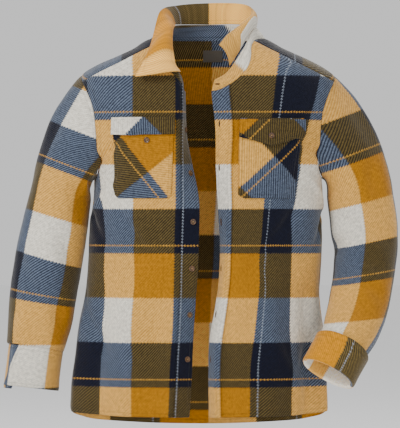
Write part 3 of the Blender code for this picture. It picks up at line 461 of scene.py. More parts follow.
def armholePoint(turn):
    # 0 is at the shoulder, 90 in front and 180 below
    radians = math.radians(turn)
    height = armholeMiddle + armholeHalf * signedPower(math.cos(radians), 2 / armholeRoundness)
    widest = armholeFront if math.sin(radians) > 0 else armholeBack
    return 90.0 - widest * signedPower(math.sin(radians), 2 / armholeRoundness), height


tipAngle, tipHeight = armholePoint(2 * armholeStep)
cornerAngle, yokeSeamHeight = armholePoint(-4 * armholeStep)


def sideEdge(up, rows, lastTurn):
    row = up * rows
    if row <= sideRows:
        return 90.0, blend(hemHeight, armholeMiddle - armholeHalf, row / sideRows)
    share = (row - sideRows) / (rows - sideRows)
    return armholePoint(blend(math.copysign(180.0, lastTurn), lastTurn, share))


def yokeNeck(column):
    if column < yokeSide:
        share = column / yokeSide
        return blend(neckSideAngle, yokeNeckAngle, blend(share, math.sin(math.radians(90.0 * share)), share))
    return blend(yokeNeckAngle, 180.0, (column - yokeSide) / (backColumns / 2))


def neckAngle(side, column):
    start = turnAngle(side, neckHeight(12.0))
    if column < edgeSteps:
        return start * column / edgeSteps
    if column < edgeSteps + neckSteps:
        return blend(start, neckSideAngle, (column - edgeSteps) / neckSteps)
    past = column - edgeSteps - neckSteps
    if past > singleSteps:
        past += past - singleSteps
    return yokeNeck(past)


def shoulderSeam(side, share):
    tip = bodyPoint(side, tipAngle, tipHeight)
    start = bodyPoint(side, neckSideAngle, neckHeight(neckSideAngle))
    height = blend(start.z, tipHeight, share)
    return angleAt(blend(start.x, tip.x, share), height), height


def frontPlace(side, across, up):
    # Angle and height at shares across, from the free edge, and up, from the hem
    turnShare, neckShare = edgeSteps / frontColumns, (edgeSteps + neckSteps) / frontColumns

    def spread(start, end):
        if across < turnShare:
            return start * across / turnShare
        return blend(start, end, (across - turnShare) / (1.0 - turnShare))

    sideAngle, sideHeight = sideEdge(up, frontRows, 2 * armholeStep)
    sideAngle -= 0.05
    edgeTop = neckHeight(neckAngle(side, 0.0)) - cloth["gap"] / 2
    height = blend(blend(hemAt(0.0), edgeTop, up), sideHeight, across)
    angle = spread(turnAngle(side, height), sideAngle)
    height += (1.0 - up) ** 3 * (hemAt(angle) - blend(hemAt(0.0), hemHeight, across))
    if across > neckShare:
        topAngle, topHeight = shoulderSeam(side, (across - neckShare) / (1.0 - neckShare))
        topHeight -= cloth["gap"] / 3
    else:
        topAngle = neckAngle(side, across * frontColumns)
        topHeight = neckHeight(topAngle) - cloth["gap"] / 2
    straightHeight = blend(edgeTop, tipHeight, across)
    straightAngle = spread(turnAngle(side, straightHeight), tipAngle - 0.05)
    share = up**4
    return angle + share * (topAngle - straightAngle), height + share * (topHeight - straightHeight)


def wholeBody(turn, height):
    side, angle = (1, turn) if turn <= 180.0 else (-1, 360.0 - turn)
    return bodyPoint(side, angle, height), bodyNormal(side, angle, height)


def backPlace(across, up):
    angle, sideHeight = sideEdge(up, backRows, -4 * armholeStep)
    turn = blend(angle + 0.05, 359.95 - angle, across)
    foot = hemAt(blend(90.0, 270.0, across))
    return turn, sideHeight + (1.0 - up) ** 3 * (foot - hemHeight) - up**8 * cloth["gap"] / 2


def yokePlace(across, out):
    mirrored = across > 0.5
    side = -1 if mirrored else 1
    column = yokeColumns * min(across, 1.0 - across)
    neckTurn = yokeNeck(column)
    neck = neckHeight(neckTurn) - cloth["gap"] / 3
    if column <= yokeSide:
        outerAngle, outerHeight = armholePoint((2 - column) * armholeStep)
    else:
        outerAngle = blend(cornerAngle, 180.0, (column - yokeSide) / (backColumns / 2))
        outerHeight = yokeSeamHeight
    angle = blend(neckTurn, outerAngle, out)
    height = blend(neck, outerHeight + cloth["gap"] / 2, out)
    share = clamp(1.0 - min(across, 1.0 - across) / 0.12) ** 2
    seamAngle, seamHeight = shoulderSeam(side, out)
    angle += share * (seamAngle - blend(neckSideAngle, tipAngle, out))
    height += share * (seamHeight - blend(neckHeight(neckSideAngle), tipHeight, out) + cloth["gap"] / 3)
    return (360.0 - angle if mirrored else angle), height


# Sleeves and cuffs
def sleeveRing(side, at, turn):
    # Turn 0 is the outer side, 90 the front and 180 the inner side
    rings = sleeves[side]["rings"]
    x, y, z, halfWidth, halfDepth = smoothRings(rings, at)
    low, high = max(at - 0.05, 0.0), min(at + 0.05, len(rings) - 1.0)
    direction = (Vector(smoothRings(rings, high)[:3]) - Vector(smoothRings(rings, low)[:3])).normalized()
    sideways = Vector((side, 0.0, 0.0))
    sideways = (sideways - direction * sideways.dot(direction)).normalized()
    ahead = direction.cross(sideways) * side
    across, along = math.cos(math.radians(turn)), math.sin(math.radians(turn))
    reach = (abs(across) ** sleeveRoundness + abs(along) ** sleeveRoundness) ** (-1 / sleeveRoundness)
    offset = sideways * (halfWidth * across * reach) + ahead * (halfDepth * along * reach)
    return Vector((x, y, z)) + offset, direction


def capStart(side, turn):
    angle, height = armholePoint(turn)
    start, normal = bodyPoint(side, angle, height), bodyNormal(side, angle, height)
    nearby = bodyPoint(side, *armholePoint(turn + 2.0))
    leave = normal.cross(nearby - start).normalized() * side
    if leave.dot(Vector((side, 0.0, 0.0))) < 0.0 and leave.z > 0.0:
        leave = -leave
    upward = math.cos(math.radians(turn))
    low = ease((1.0 - upward) / 2.0)
    chord = (sleeveRing(side, 0.0, turn)[0] - start).normalized()
    share = blend(capTurnLeast, 1.0, max(upward, 0.0) ** 2)
    leave = leave * share + chord * (1.0 - share)
    under = max(-upward, 0.0) ** 4
    leave = (leave * (1.0 - under) + Vector((side, 0.0, capUnderDrop)) * under).normalized()
    return start, leave, normal, low


def sleeveRaw(side, along, turn, known):
    if along >= capShare:
        share = (along - capShare) / (1.0 - capShare)
        return sleeveRing(side, share * sleeves[side]["last"], turn)[0]
    key = round(turn, 4)
    if key not in known:
        known[key] = capStart(side, turn)[:2] + sleeveRing(side, 0.0, turn)
    share = along / capShare
    start, leave, end, direction = known[key]
    reach = (end - start).length
    first, last = start + leave * (capPull * reach), end - direction * (capPull * reach)
    start = start + leave * cloth["layer"]
    rest = 1.0 - share
    return start * rest**3 + first * (3 * rest**2 * share) + last * (3 * rest * share**2) + end * share**3


def sleeveTurn(around):
    return 360.0 * around + sleeveSeam


def sleeveAt(side):
    known = {}

    def at(around, along):
        turn = sleeveTurn(around)
        point = sleeveRaw(side, along, turn, known)
        low, high = max(along - alongStep, 0.0), min(along + alongStep, 1.0)
        down = sleeveRaw(side, high, turn, known) - sleeveRaw(side, low, turn, known)
        before, after = (sleeveRaw(side, along, turn + step, known) for step in (-turnStep, turnStep))
        normal = (down.cross(after - before) * -side).normalized()
        total = 0.0
        for middle, middleTurn, halfAlong, halfRound, slant, rise in sleeves[side]["creases"]:
            off = along - middle
            swing = (turn - middleTurn - slant * off + 180.0) % 360.0 - 180.0
            total += rise * math.exp(-((off / halfAlong) ** 2) - (swing / halfRound) ** 2)
        total *= cloth["creaseDepth"] * ease(along / capFade) * ease((1.0 - along) / footFade)
        point = point + normal * total
        if along < capFade:
            _, _, body, lowShare = capStart(side, turn)
            keep = (1.0 - along / capFade) * (1.0 - lowShare)
            normal = (normal * (1.0 - keep) + body * keep).normalized()
        return point, normal

    return at


def cuffRing(side, place, turn):
    point, direction = sleeveRing(side, place, turn)
    nearby = sleeveRing(side, place, turn + 2.0)[0]
    return point, direction, (direction.cross(nearby - point) * -side).normalized()


def cuffTurnAt(around, along):
    start = blend(cuffLap["overTop"], cuffLap["overFoot"], along)
    end = 360.0 + blend(cuffLap["underTop"], cuffLap["underFoot"], along)
    return blend(start, end, around)


def straightCuffAt(around, along):
    rings = sleeves[-1]["rings"]
    turn = cuffTurnAt(around, along)
    under = ease((turn - cuffLap["start"]) / cuffLap["length"])
    first = sleeves[-1]["last"] + cuffGap
    point, direction, normal = cuffRing(-1, blend(first, len(rings) - 1.0, along), turn)
    point = point - normal * (cuffLap["depth"] * under) + direction * (cuffLap["slide"] * under * along)
    return point, normal


def turnedCuffAt(around, along):
    last = len(sleeves[1]["rings"]) - 1.0
    first = sleeves[1]["last"] + cuffGap
    tilt = math.pi * clamp((along - cuffInner) / (cuffTurn - cuffInner))
    if along < cuffTurn:
        place = blend(first, last, min(along / cuffInner, 1.0))
    else:
        place = blend(last, first - cuffAbove, (along - cuffTurn) / (1.0 - cuffTurn))
    point, direction, radial = cuffRing(1, place, sleeveTurn(around))
    out = cuffSpread * (1.0 - math.cos(tilt)) / 2.0
    normal = radial * math.cos(tilt) - direction * math.sin(tilt)
    return point + radial * out + direction * (cuffRim * math.sin(tilt)), normal


# The collar
collarTables = [[(-row[0],) + tuple(row[which]) for row in collarRows] for which in (1, 2, 3)]


def collarPlace(share):
    column = share * collarColumns
    side = -1 if share < 0.5 else 1
    return side, neckAngle(side, min(column, collarColumns - column))


def neckline(share):
    side, angle = collarPlace(share)
    height = neckHeight(angle)
    return bodyPoint(side, angle, height), bodyNormal(side, angle, height)


def collarRow(share, which):
    side, angle = collarPlace(share)
    turn = angle if side < 0 else 360.0 - angle
    return Vector([smoothRead(collarTables[which - 1], turn, column) for column in (1, 2, 3)])


collarKnown = {}


def collarFacts(share):
    key = round(share, 6)
    if key not in collarKnown:
        low, high = max(share - collarStep, 0.0), min(share + collarStep, 1.0)
        base, normal = neckline(share)
        collarKnown[key] = {
            "base": base,
            "normal": normal,
            "rows": [collarRow(share, which) for which in (1, 2, 3)],
            "near": [(neckline(s)[0], [collarRow(s, which) for which in (1, 2, 3)]) for s in (low, high)],
        }
    return collarKnown[key]


def standAt(share, up):
    facts = collarFacts(share)
    (lowBase, lowRows), (highBase, highRows) = facts["near"]
    base, baseNormal, top = facts["base"], facts["normal"], facts["rows"][0]
    away = baseNormal.cross(highBase - lowBase).normalized()
    if away.z < 0.0:
        away = -away
    point = (base + away * (1.5 * cloth["gap"])).lerp(top, up)
    point = point + baseNormal * (standBulge * math.sin(math.pi * up))
    around = highBase.lerp(highRows[0], up) - lowBase.lerp(lowRows[0], up)
    normal = (top - base).cross(around).normalized()
    keep = (1.0 - up) ** 2
    return point, (normal * (1.0 - keep) + baseNormal * keep).normalized()


def leafPoint(rows, out):
    top, roll, edge = rows
    rest = 1.0 - out
    middle = roll * 2.0 - (top + edge) * 0.5
    return top * rest**2 + middle * (2 * rest * out) + edge * out**2


def leafShare(across):
    return blend(leafFirst, leafLast, across) / collarColumns


def leafAt(across, out):
    share = leafShare(across)
    facts = collarFacts(share)
    (lowBase, lowRows), (highBase, highRows) = facts["near"]
    around = leafPoint(highRows, out) - leafPoint(lowRows, out)
    rows = facts["rows"]
    step = leafPoint(rows, min(out + leafStep, 1.0)) - leafPoint(rows, max(out - leafStep, 0.0))
    normal = step.cross(around).normalized()
    rise = (rows[0] - facts["base"]).normalized()
    normal = (normal - rise * (max(normal.dot(rise), 0.0) * (1.0 - out) ** 2)).normalized()
    apart = leafApart * (1.0 - normal.dot(standAt(share, 1.0)[1]))
    lean = (1.5 * cloth["gap"] + apart) * (1.0 - out) + leafBulge * math.sin(math.pi * out)
    return leafPoint(rows, out) + rise * lean, normal


# What lies on the fronts
def onFront(side, x, height, lift):
    angle = max(angleAt(x, height), turnAngle(side, height))
    normal = bodyNormal(side, angle, height)
    return bodyPoint(side, angle, height) + normal * lift, normal


def pocketPlace(pocket, across, up):
    left = blend(pocket["footX"][0], pocket["topX"][0], up)
    right = blend(pocket["footX"][1], pocket["topX"][1], up)
    clip = pocketClip * clamp(1.0 - min(across, 1.0 - across) / 0.07) * clamp(1.0 - up / 0.08)
    return blend(left, right, across), blend(pocket["foot"], pocket["top"], up) + clip


def flapPlace(flap, across, down):
    middle = flap["point"]
    share = across / middle if across < middle else (1 - across) / (1 - middle)
    depth = blend(flap["end"], flap["middle"], share)
    return blend(flap["x"][0], flap["x"][1], across), flap["top"] - depth * down


# Where each point of the cloth lies in the plaid: U runs across its bands and V down them, 0.09 m a band.
# The lines between bands on each front: height, then the x of the next two lines out from the turned edge
bandLines = {
    -1: (
        (-0.740, -0.138, -0.212),
        (-0.566, -0.138, -0.207),
        (-0.488, -0.134, -0.197),
        (-0.370, -0.138, -0.193),
        (-0.250, -0.138, -0.207),
        (-0.094, -0.138, -0.228),
    ),
    1: (
        (-0.724, 0.0904, 0.1751),
        (-0.635, 0.0924, 0.1751),
        (-0.566, 0.1013, 0.1711),
        (-0.488, 0.1091, 0.1721),
        (-0.370, 0.1160, 0.1770),
        (-0.212, 0.1278, 0.2006),
        (-0.094, 0.1416, 0.2262),
    ),
}
# The rows of each sleeve: height on its front, place in the plaid, and the lean of the rows
sleeveLines = {
    -1: (
        (-0.683, 0.54, 0.0),
        (-0.598, 0.45, 0.0),
        (-0.515, 0.36, -0.15),
        (-0.429, 0.27, -0.27),
        (-0.346, 0.18, -0.28),
        (-0.255, 0.09, -0.35),
        (-0.168, 0.0, -0.39),
    ),
    1: (
        (-0.549, 0.45, 0.10),
        (-0.473, 0.36, 0.15),
        (-0.396, 0.27, 0.20),
        (-0.317, 0.18, 0.25),
        (-0.235, 0.09, 0.35),
        (-0.136, 0.0, 0.40),
    ),
}

# The plaid round each sleeve: where its columns start, at which turn, and the girth they count
sleeveBands = {-1: (0.09, 42.0, 0.405), 1: (0.18, 92.0, -0.44)}
# The heights where the fronts' and the back's rows start, and how the rows stretch
frontRowStart, frontRowStretch = -0.0645, 1.024
backRowStart, backRowStretch = -0.114, 1.0125
backMiddle = 0.0173  # where a column starts on the back

# Lengths along the body's level section, in steps of 2 degrees
arcs = [(0.0, 0.0)]
for degree in range(2, 182, 2):
    stepLength = (ringPoint(degree, -0.4, False) - ringPoint(degree - 2, -0.4, False)).length
    arcs.append((float(degree), arcs[-1][1] + stepLength))


def frontCloth(side, angle, height):
    start, band = turnAngle(side, height), plaid["band"]
    first, outward = (0.0, -1) if side < 0 else (2 * band, 1)
    down = (frontRowStart - height) * frontRowStretch
    if angle < start:
        return first - outward * edgeWidth[side] * (1.0 - angle / start), down
    lines = bandLines[side]
    near = angleAt(straightRead(lines, height, 1), height)
    far = angleAt(straightRead(lines, height, 2), height)
    if angle <= near:
        past = band * (angle - start) / (near - start)
    elif angle <= far:
        past = band + band * (angle - near) / (far - near)
    else:
        past = 2 * band + straightRead(arcs, angle) - straightRead(arcs, far)
    return first + outward * past, down


def backCloth(turn, height):
    side = 1 if turn <= 180.0 else -1
    arc = arcs[-1][1] - straightRead(arcs, turn if side > 0 else 360.0 - turn)
    return 2 * plaid["band"] - (side * arc - backMiddle), (backRowStart - height) * backRowStretch


def yokeCloth(turn, height):
    point = wholeBody(turn, height)[0]
    return 2 * plaid["band"] - (point.x - backMiddle), 0.3 * (point.y + 0.1) + max(0.0, -0.01 - height)


def sleeveCloth(side, turn, point):
    middles = [(row[2], row[0]) for row in reversed(sleeves[side]["rings"])]
    middle = straightRead(middles, min(point.z, -0.2))
    lean = straightRead(sleeveLines[side], max(min(point.z, -0.14), -0.68), 2)
    down = straightRead(sleeveLines[side], point.z - lean * (point.x - middle))
    first, firstTurn, girth = sleeveBands[side]
    return first + (turn - firstTurn) / 360.0 * girth, down


def biasCloth(bias, x, height):
    x0, z0, u0, v0, turn = bias
    across, down = math.cos(math.radians(turn)), math.sin(math.radians(turn))
    x, height = x - x0, height - z0
    return u0 + across * x + down * height, v0 + down * x - across * height


# The collar from the wearer's right end round: share of its length, then U on the leaf,
# and U and V on the stand
leafBands = ((0.04, 0.150), (0.13, 0.18), (0.33, 0.27), (0.50, 0.36), (0.58, 0.40), (0.96, 0.415))
standBands = (
    (0.0, 0.045, 0.135),
    (0.15, 0.06, 0.17),
    (0.25, 0.07, 0.20),
    (0.55, 0.085, 0.21),
    (0.62, 0.10, 0.22),
    (0.86, 0.175, 0.22),
    (0.90, 0.19, 0.22),
    (1.0, 0.25, 0.22),
)


# Making a sheet of cloth: a grid of marks, two layers, and soft seams
seams = {
    "marks": (0.0014, 0.0034),  # extra lines of the grid beside an edge
    "reach": 0.0030,  # how wide an edge is pressed in
    "depth": 0.0008,  # and how deep
    "past": 0.0011,  # how far the inner layer reaches past a seam
}


def marks(length, corners=(), ends=(True, True), pitch=None):
    # Shares along a side: the ends of the cloth are marked where ends says so
    pitch = pitch or cloth["pitch"]
    stops = [0.0, *corners, 1.0]
    found = []
    for low, high in zip(stops, stops[1:]):
        count = max(1, round((high - low) * length / pitch))
        found += [low + (high - low) * step / count for step in range(count)]
    found.append(1.0)
    near = [0.0] + [step / length for step in seams["marks"]]
    room = near[-1] + 0.3 * pitch / length
    if ends[0]:
        found = near + [value for value in found if value > room]
    if ends[1]:
        found = [value for value in found if value < 1.0 - room] + [1.0 - value for value in reversed(near)]
    return found


def ripple(point):
    broad = noise.noise(point * 17.0 + Vector((3.0, 1.0, 2.0)))
    fine = noise.noise(point * 46.0 + Vector((0.5, 7.0, 4.0)))
    return cloth["ripple"] * broad + 0.35 * cloth["ripple"] * fine


def makeSheet(
    name, columns, rows, at, lay, size, closed=False, wall=None, dips=("seam",) * 4, threads="lay"
):
    # dips names the sides left, right, foot and top: seam, free or none
    # threads says what the twill follows: the lay of the bands, the piece's own grid, or a look from above
    wall = wall or cloth["wall"]
    mesh = bmesh.new()
    bmesh.ops.create_grid(mesh, x_segments=len(columns) - 1, y_segments=len(rows) - 1, size=0.5)
    made = bmesh.ops.extrude_face_region(mesh, geom=mesh.faces[:])
    outer = [item for item in made["geom"] if isinstance(item, bmesh.types.BMVert)]
    bmesh.ops.translate(mesh, vec=(0.0, 0.0, 1.0), verts=outer)
    if closed:
        rims = [face for face in mesh.faces if all(abs(corner.co.x) > 0.499999 for corner in face.verts)]
        bmesh.ops.delete(mesh, geom=rims, context="FACES_ONLY")
    weave = mesh.loops.layers.uv.new("weave")
    edge = mesh.loops.layers.uv.new("edge")
    thread = mesh.loops.layers.uv.new("thread")
    lastColumn, lastRow = len(columns) - 1, len(rows) - 1
    known, laid = {}, {}

    def index(corner):
        return round((corner.co.x + 0.5) * lastColumn), round((corner.co.y + 0.5) * lastRow)

    def fetch(column, row):
        key = (0 if closed and column == lastColumn else column, row)
        if key not in known:
            known[key] = at(columns[key[0]], rows[row])
        return known[key]

    def sides(column, row):
        across, up = columns[column], rows[row]
        away = (across * size[0], (1.0 - across) * size[0], up * size[1], (1.0 - up) * size[1])
        return [(gap, kind) for gap, kind in zip(away, dips) if kind != "none"]

    for face in mesh.faces:
        for loop in face.loops:
            column, row = index(loop.vert)
            if (column, row) not in laid:
                point = fetch(column, row)[0]
                near = min([gap for gap, kind in sides(column, row)], default=0.1)
                place = lay(columns[column], rows[row], point)
                grid = (columns[column] * size[0], rows[row] * size[1])
                slant = {"lay": place, "grid": grid, "above": (-point.x, point.y)}[threads]
                laid[(column, row)] = (place, near, slant)
            place, near, slant = laid[(column, row)]
            loop[weave].uv = place
            loop[edge].uv = (near, 0.0)
            loop[thread].uv = slant
        inner = all(corner.co.z < 0.5 for corner in face.verts)
        face.material_index = 1 if inner else 0
    placed = {}
    for corner in mesh.verts:
        column, row = index(corner)
        point, normal = fetch(column, row)
        dip = sum(math.exp(-((gap / seams["reach"]) ** 2)) for gap, kind in sides(column, row))
        dip = seams["depth"] * min(dip, 1.2)
        lift = ripple(point)
        if corner.co.z > 0.5:
            placed[corner] = point + normal * (lift - dip)
            continue
        spot = point + normal * (lift - wall + 0.5 * dip)
        # the inner layer reaches a little past a seam, so that no light comes through
        for end, kind, step in (
            (column == 0 and not closed, dips[0], (1, 0)),
            (column == lastColumn and not closed, dips[1], (-1, 0)),
            (row == 0, dips[2], (0, 1)),
            (row == lastRow, dips[3], (0, -1)),
        ):
            if end and kind == "seam":
                inward = fetch(column + 2 * step[0], row + 2 * step[1])[0] - point
                spot = spot - inward.normalized() * seams["past"]
        placed[corner] = spot
    for corner, spot in placed.items():
        corner.co = spot
    if closed:
        bmesh.ops.remove_doubles(mesh, verts=mesh.verts[:], dist=1e-6)
    bmesh.ops.recalc_face_normals(mesh, faces=mesh.faces[:])
    if mesh.calc_volume(signed=True) < 0.0:
        bmesh.ops.reverse_faces(mesh, faces=mesh.faces[:])
    thing = addPiece(name, mesh)
    finer = thing.modifiers.new("finer", "SUBSURF")
    finer.levels = finer.render_levels = 1
    return thing


def addPiece(name, mesh):
    data = bpy.data.meshes.new(name)
    mesh.to_mesh(data)
    mesh.free()
    data.shade_smooth()
    thing = bpy.data.objects.new(name, data)
    bpy.context.scene.collection.objects.link(thing)
    return thing


# Materials
class Wire:
    # A node's socket that does sums: each operator adds one Math node
    def __init__(self, tree, socket):
        self.tree = tree
        self.socket = socket

    def node(self, kind, settings, out, **sockets):
        made = self.tree.nodes.new(kind)
        for key, value in settings.items():
            setattr(made, key, value)
        for key, value in sockets.items():
            target = made.inputs[int(key[1:])] if key[1:].isdigit() else made.inputs[key.replace("_", " ")]
            if isinstance(value, Wire):
                self.tree.links.new(value.socket, target)
            else:
                target.default_value = value
        return Wire(self.tree, made.outputs[out])

    def sum(self, kind, first, second=0.0):
        return self.node("ShaderNodeMath", {"operation": kind}, 0, s0=first, s1=second)

    def __add__(self, other):
        return self.sum("ADD", self, other)

    __radd__ = __add__

    def __sub__(self, other):
        return self.sum("SUBTRACT", self, other)

    def __rsub__(self, other):
        return self.sum("SUBTRACT", other, self)

    def __mul__(self, other):
        return self.sum("MULTIPLY", self, other)

    __rmul__ = __mul__

    def __truediv__(self, other):
        return self.sum("DIVIDE", self, other)

    def __mod__(self, other):
        return self.sum("FLOORED_MODULO", self, other)

    def size(self):
        return self.sum("ABSOLUTE", self)

    def step(self, low, high):
        # 0 below low and 1 above high, with a soft rise between
        settings = {"interpolation_type": "SMOOTHSTEP"}
        return self.node("ShaderNodeMapRange", settings, 0, Value=self, From_Min=low, From_Max=high)

    def near(self, middle, reach):
        # 1 at the middle, falling to 0 at the reach
        return 1.0 - (self - middle).size().step(reach * 0.4, reach)

    def mix(self, first, second):
        return self.node("ShaderNodeMix", {"data_type": "RGBA"}, 2, s0=self, s6=first, s7=second)

    def scaled(self, amount):
        return self.node("ShaderNodeVectorMath", {"operation": "SCALE"}, 0, s0=self, Scale=amount)

    def noise(self, scale, detail=2.0, roughness=0.5):
        sockets = {"Scale": scale, "Detail": detail, "Roughness": roughness}
        return self.node("ShaderNodeTexNoise", {}, 0, Vector=self, **sockets)


def startMaterial(name):
    material = bpy.data.materials.new(name)
    material.use_nodes = True
    tree = material.node_tree
    shader = tree.nodes["Principled BSDF"]
    return material, tree, shader, Wire(tree, None)


def readMap(start, name):
    # a UV map of the piece, and its two parts
    place = start.node("ShaderNodeUVMap", {"uv_map": name}, 0)
    parts = place.tree.nodes.new("ShaderNodeSeparateXYZ")
    place.tree.links.new(place.socket, parts.inputs[0])
    return place, Wire(place.tree, parts.outputs[0]), Wire(place.tree, parts.outputs[1])


def linear(red, green, blue):
    return tuple(value / 12.92 if value < 0.04045 else ((value + 0.055) / 1.055) ** 2.4
                 for value in (red / 255, green / 255, blue / 255)) + (1.0,)


# The plaid: the width of a band, its yarns and the pairs that they make, and the look of each side
plaid = {
    "band": 0.09,
    "cream": linear(226, 220, 205),
    "slateDark": linear(36, 42, 60),
    "slatePale": linear(96, 108, 126),
    "tanDeep": linear(208, 150, 64),
    "tanPale": linear(220, 170, 88),
    "navy": linear(15, 18, 34),
    "oliveDark": linear(42, 35, 25),
    "olivePale": linear(96, 80, 42),
    "mustard": linear(170, 112, 10),
    "weftLine": linear(212, 156, 60),
    "warpLine": linear(168, 178, 192),
}
faces = {
    "outer": {
        "pitch": 0.0062,  # of the twill
        "lean": 1.0,
        "twill": 0.15,  # how dark its valleys are
        "soft": 0.48,  # how softly two crossing yarns change over
        "paintedLight": 1.0,
        "fuzz": 0.0042,
        "jag": 0.0030,
        "bump": 0.55,
    },
    "inner": {
        "pitch": 0.0048,
        "lean": -1.0,
        "twill": 0.22,
        "soft": 0.24,
        # the inner face is painted brighter, as painted light against the shade inside the jacket
        "paintedLight": 1.5,
        "fuzz": 0.0018,
        "jag": 0.0036,
        "bump": 0.40,
    },
}
weftPlace, weftWidth = 0.822, 0.016  # the mustard line, as shares of a navy row
warpPlace, warpWidth = 0.167, 0.012  # the pale line, as shares of a navy column
bandEdge = 0.015  # how softly one band becomes the next, as a share of its width


def plaidMaterial(name, look):
    material, tree, shader, start = startMaterial(name)
    place, across, down = readMap(start, "weave")
    away = readMap(start, "edge")[1]
    threadAcross, threadDown = readMap(start, "thread")[1:]
    tufts = place.noise(420.0, 3.0, 0.65)
    tuftsToo = place.noise(330.0, 3.0, 0.65)
    clumps = place.noise(150.0, 2.0, 0.5)
    broad = place.noise(14.0, 2.0, 0.5)
    across = across + (tufts - 0.5) * look["fuzz"]
    down = down + (tuftsToo - 0.5) * look["fuzz"]
    wander = (tufts - 0.5) * look["fuzz"]
    # the twill: soft ridges at a slant, which also notch the edges of the bands
    slant = ((threadAcross + threadDown * look["lean"] + wander) / look["pitch"]) % 1.0
    ridge = 1.0 - (slant - 0.5).size() * 2.0
    notched = across + (ridge - 0.5) * look["jag"]
    stepped = down + (ridge - 0.5) * look["jag"]
    band = plaid["band"]
    column = (notched % (3 * band)) / band
    row = (stepped % (3 * band)) / band
    isMustard = column.step(2 - bandEdge, 2 + bandEdge)
    isCream = column.step(1 - bandEdge, 1 + bandEdge) * (1.0 - isMustard)
    # where two yarns cross, each shows in turn along the slanting lines of the twill
    turns = ridge.step(0.5 - look["soft"], 0.5 + look["soft"])
    slate = turns.mix(plaid["slateDark"], plaid["slatePale"])
    olive = turns.mix(plaid["oliveDark"], plaid["olivePale"])
    tan = turns.mix(plaid["tanDeep"], plaid["tanPale"])
    navyRow = isMustard.mix(isCream.mix(plaid["navy"], slate), olive)
    mustardRow = isMustard.mix(isCream.mix(olive, tan), plaid["mustard"])
    creamRow = isMustard.mix(isCream.mix(slate, plaid["cream"]), tan)
    rowMustard = row.step(1 - bandEdge, 1 + bandEdge)
    rowCream = row.step(2 - bandEdge, 2 + bandEdge)
    colour = rowCream.mix(rowMustard.mix(navyRow, mustardRow), creamRow)
    # the valleys of the twill are in shade
    crossed = (ridge.step(0.15, 0.75) * look["twill"]) + (1.0 - look["twill"] * 0.62)
    weft = row.near(weftPlace, weftWidth) * (0.55 + ridge * 0.25)
    warp = column.near(warpPlace, warpWidth) * (0.40 + ridge * 0.30)
    colour = weft.mix(colour, plaid["weftLine"])
    colour = warp.mix(colour, plaid["warpLine"])
    nap = (0.20 + clumps * 0.95 + tufts * 0.65) * (0.90 + broad * 0.20)
    # the colour is scaled by the twill's shade and the nap, and on the inner face made brighter still, as
    # painted light
    colour = colour.scaled(crossed * nap * look["paintedLight"])
    # a seam is pressed in and a line of stitches runs beside it; painted shade darkens the cloth near each
    # seam and free edge, and along the sunk line of stitches
    stitchGroove = away.near(0.0070, 0.0016)
    colour = colour.scaled((0.80 + away.step(0.0, 0.0035) * 0.20) * (1.0 - stitchGroove * 0.12))
    tree.links.new(colour.socket, shader.inputs["Base Color"])
    height = ridge * 0.5 + clumps * 0.55 + tufts * 0.5 - stitchGroove * 0.8
    bump = start.node("ShaderNodeBump", {}, 0, Strength=look["bump"], Distance=0.0016, Height=height)
    tree.links.new(bump.socket, shader.inputs["Normal"])
    shader.inputs["Roughness"].default_value = 0.96
    shader.inputs["Sheen Weight"].default_value = 0.30
    shader.inputs["Sheen Roughness"].default_value = 0.45
    shader.inputs["Sheen Tint"].default_value = (1.0, 0.97, 0.92, 1.0)
    shader.inputs["Specular IOR Level"].default_value = 0.12
    return material


def hornMaterial():
    material, tree, shader, start = startMaterial("buttonHorn")
    place = start.node("ShaderNodeTexCoord", {}, "Object")
    swirl = place.noise(210.0, 3.0, 0.6)
    streak = place.noise(620.0, 2.0, 0.5)
    colour = swirl.step(0.35, 0.65).mix(linear(58, 34, 16), linear(112, 76, 38))
    colour = (streak.step(0.5, 0.7) * 0.4).mix(colour, linear(34, 20, 11))
    tree.links.new(colour.socket, shader.inputs["Base Color"])
    tree.links.new((0.30 + swirl * 0.16).socket, shader.inputs["Roughness"])
    shader.inputs["Coat Weight"].default_value = 0.2
    return material


def threadMaterial(name, shade, scale):
    material, tree, shader, start = startMaterial(name)
    place = start.node("ShaderNodeTexCoord", {}, "Object")
    grain = place.noise(scale, 2.0, 0.5)
    colour = grain.mix(linear(*[0.78 * value for value in shade]), linear(*shade))
    tree.links.new(colour.socket, shader.inputs["Base Color"])
    bump = start.node("ShaderNodeBump", {}, 0, Strength=0.4, Distance=0.0003, Height=grain)
    tree.links.new(bump.socket, shader.inputs["Normal"])
    shader.inputs["Roughness"].default_value = 0.85
    return material


def tapeMaterial():
    # plain woven tape, with fine cross ribs and nothing printed on it
    material, tree, shader, start = startMaterial("labelTape")
    place, across, down = readMap(start, "weave")
    rib = (((down / 0.0007) % 1.0) - 0.5).size() * 2.0
    warp = (((across / 0.0005) % 1.0) - 0.5).size() * 2.0
    grain = place.noise(900.0, 2.0, 0.5)
    colour = (grain * 0.6 + rib * 0.3).mix(linear(78, 74, 68), linear(118, 112, 102))
    tree.links.new(colour.socket, shader.inputs["Base Color"])
    bump = start.node("ShaderNodeBump", {}, 0, Strength=0.5, Distance=0.0002, Height=rib + warp * 0.5)
    tree.links.new(bump.socket, shader.inputs["Normal"])
    shader.inputs["Roughness"].default_value = 0.8
    return material


outerFace = plaidMaterial("plaidOuter", faces["outer"])
innerFace = plaidMaterial("plaidInner", faces["inner"])
horn = hornMaterial()
thread = threadMaterial("buttonThread", (196, 156, 92), 1500.0)
darkThread = threadMaterial("edgeThread", (92, 62, 34), 1500.0)
# painted shade: a dark colour for the holes of the buttons and the slits of the buttonholes
holeShade = threadMaterial("paintedHoleShade", (24, 16, 10), 800.0)
tape = tapeMaterial()


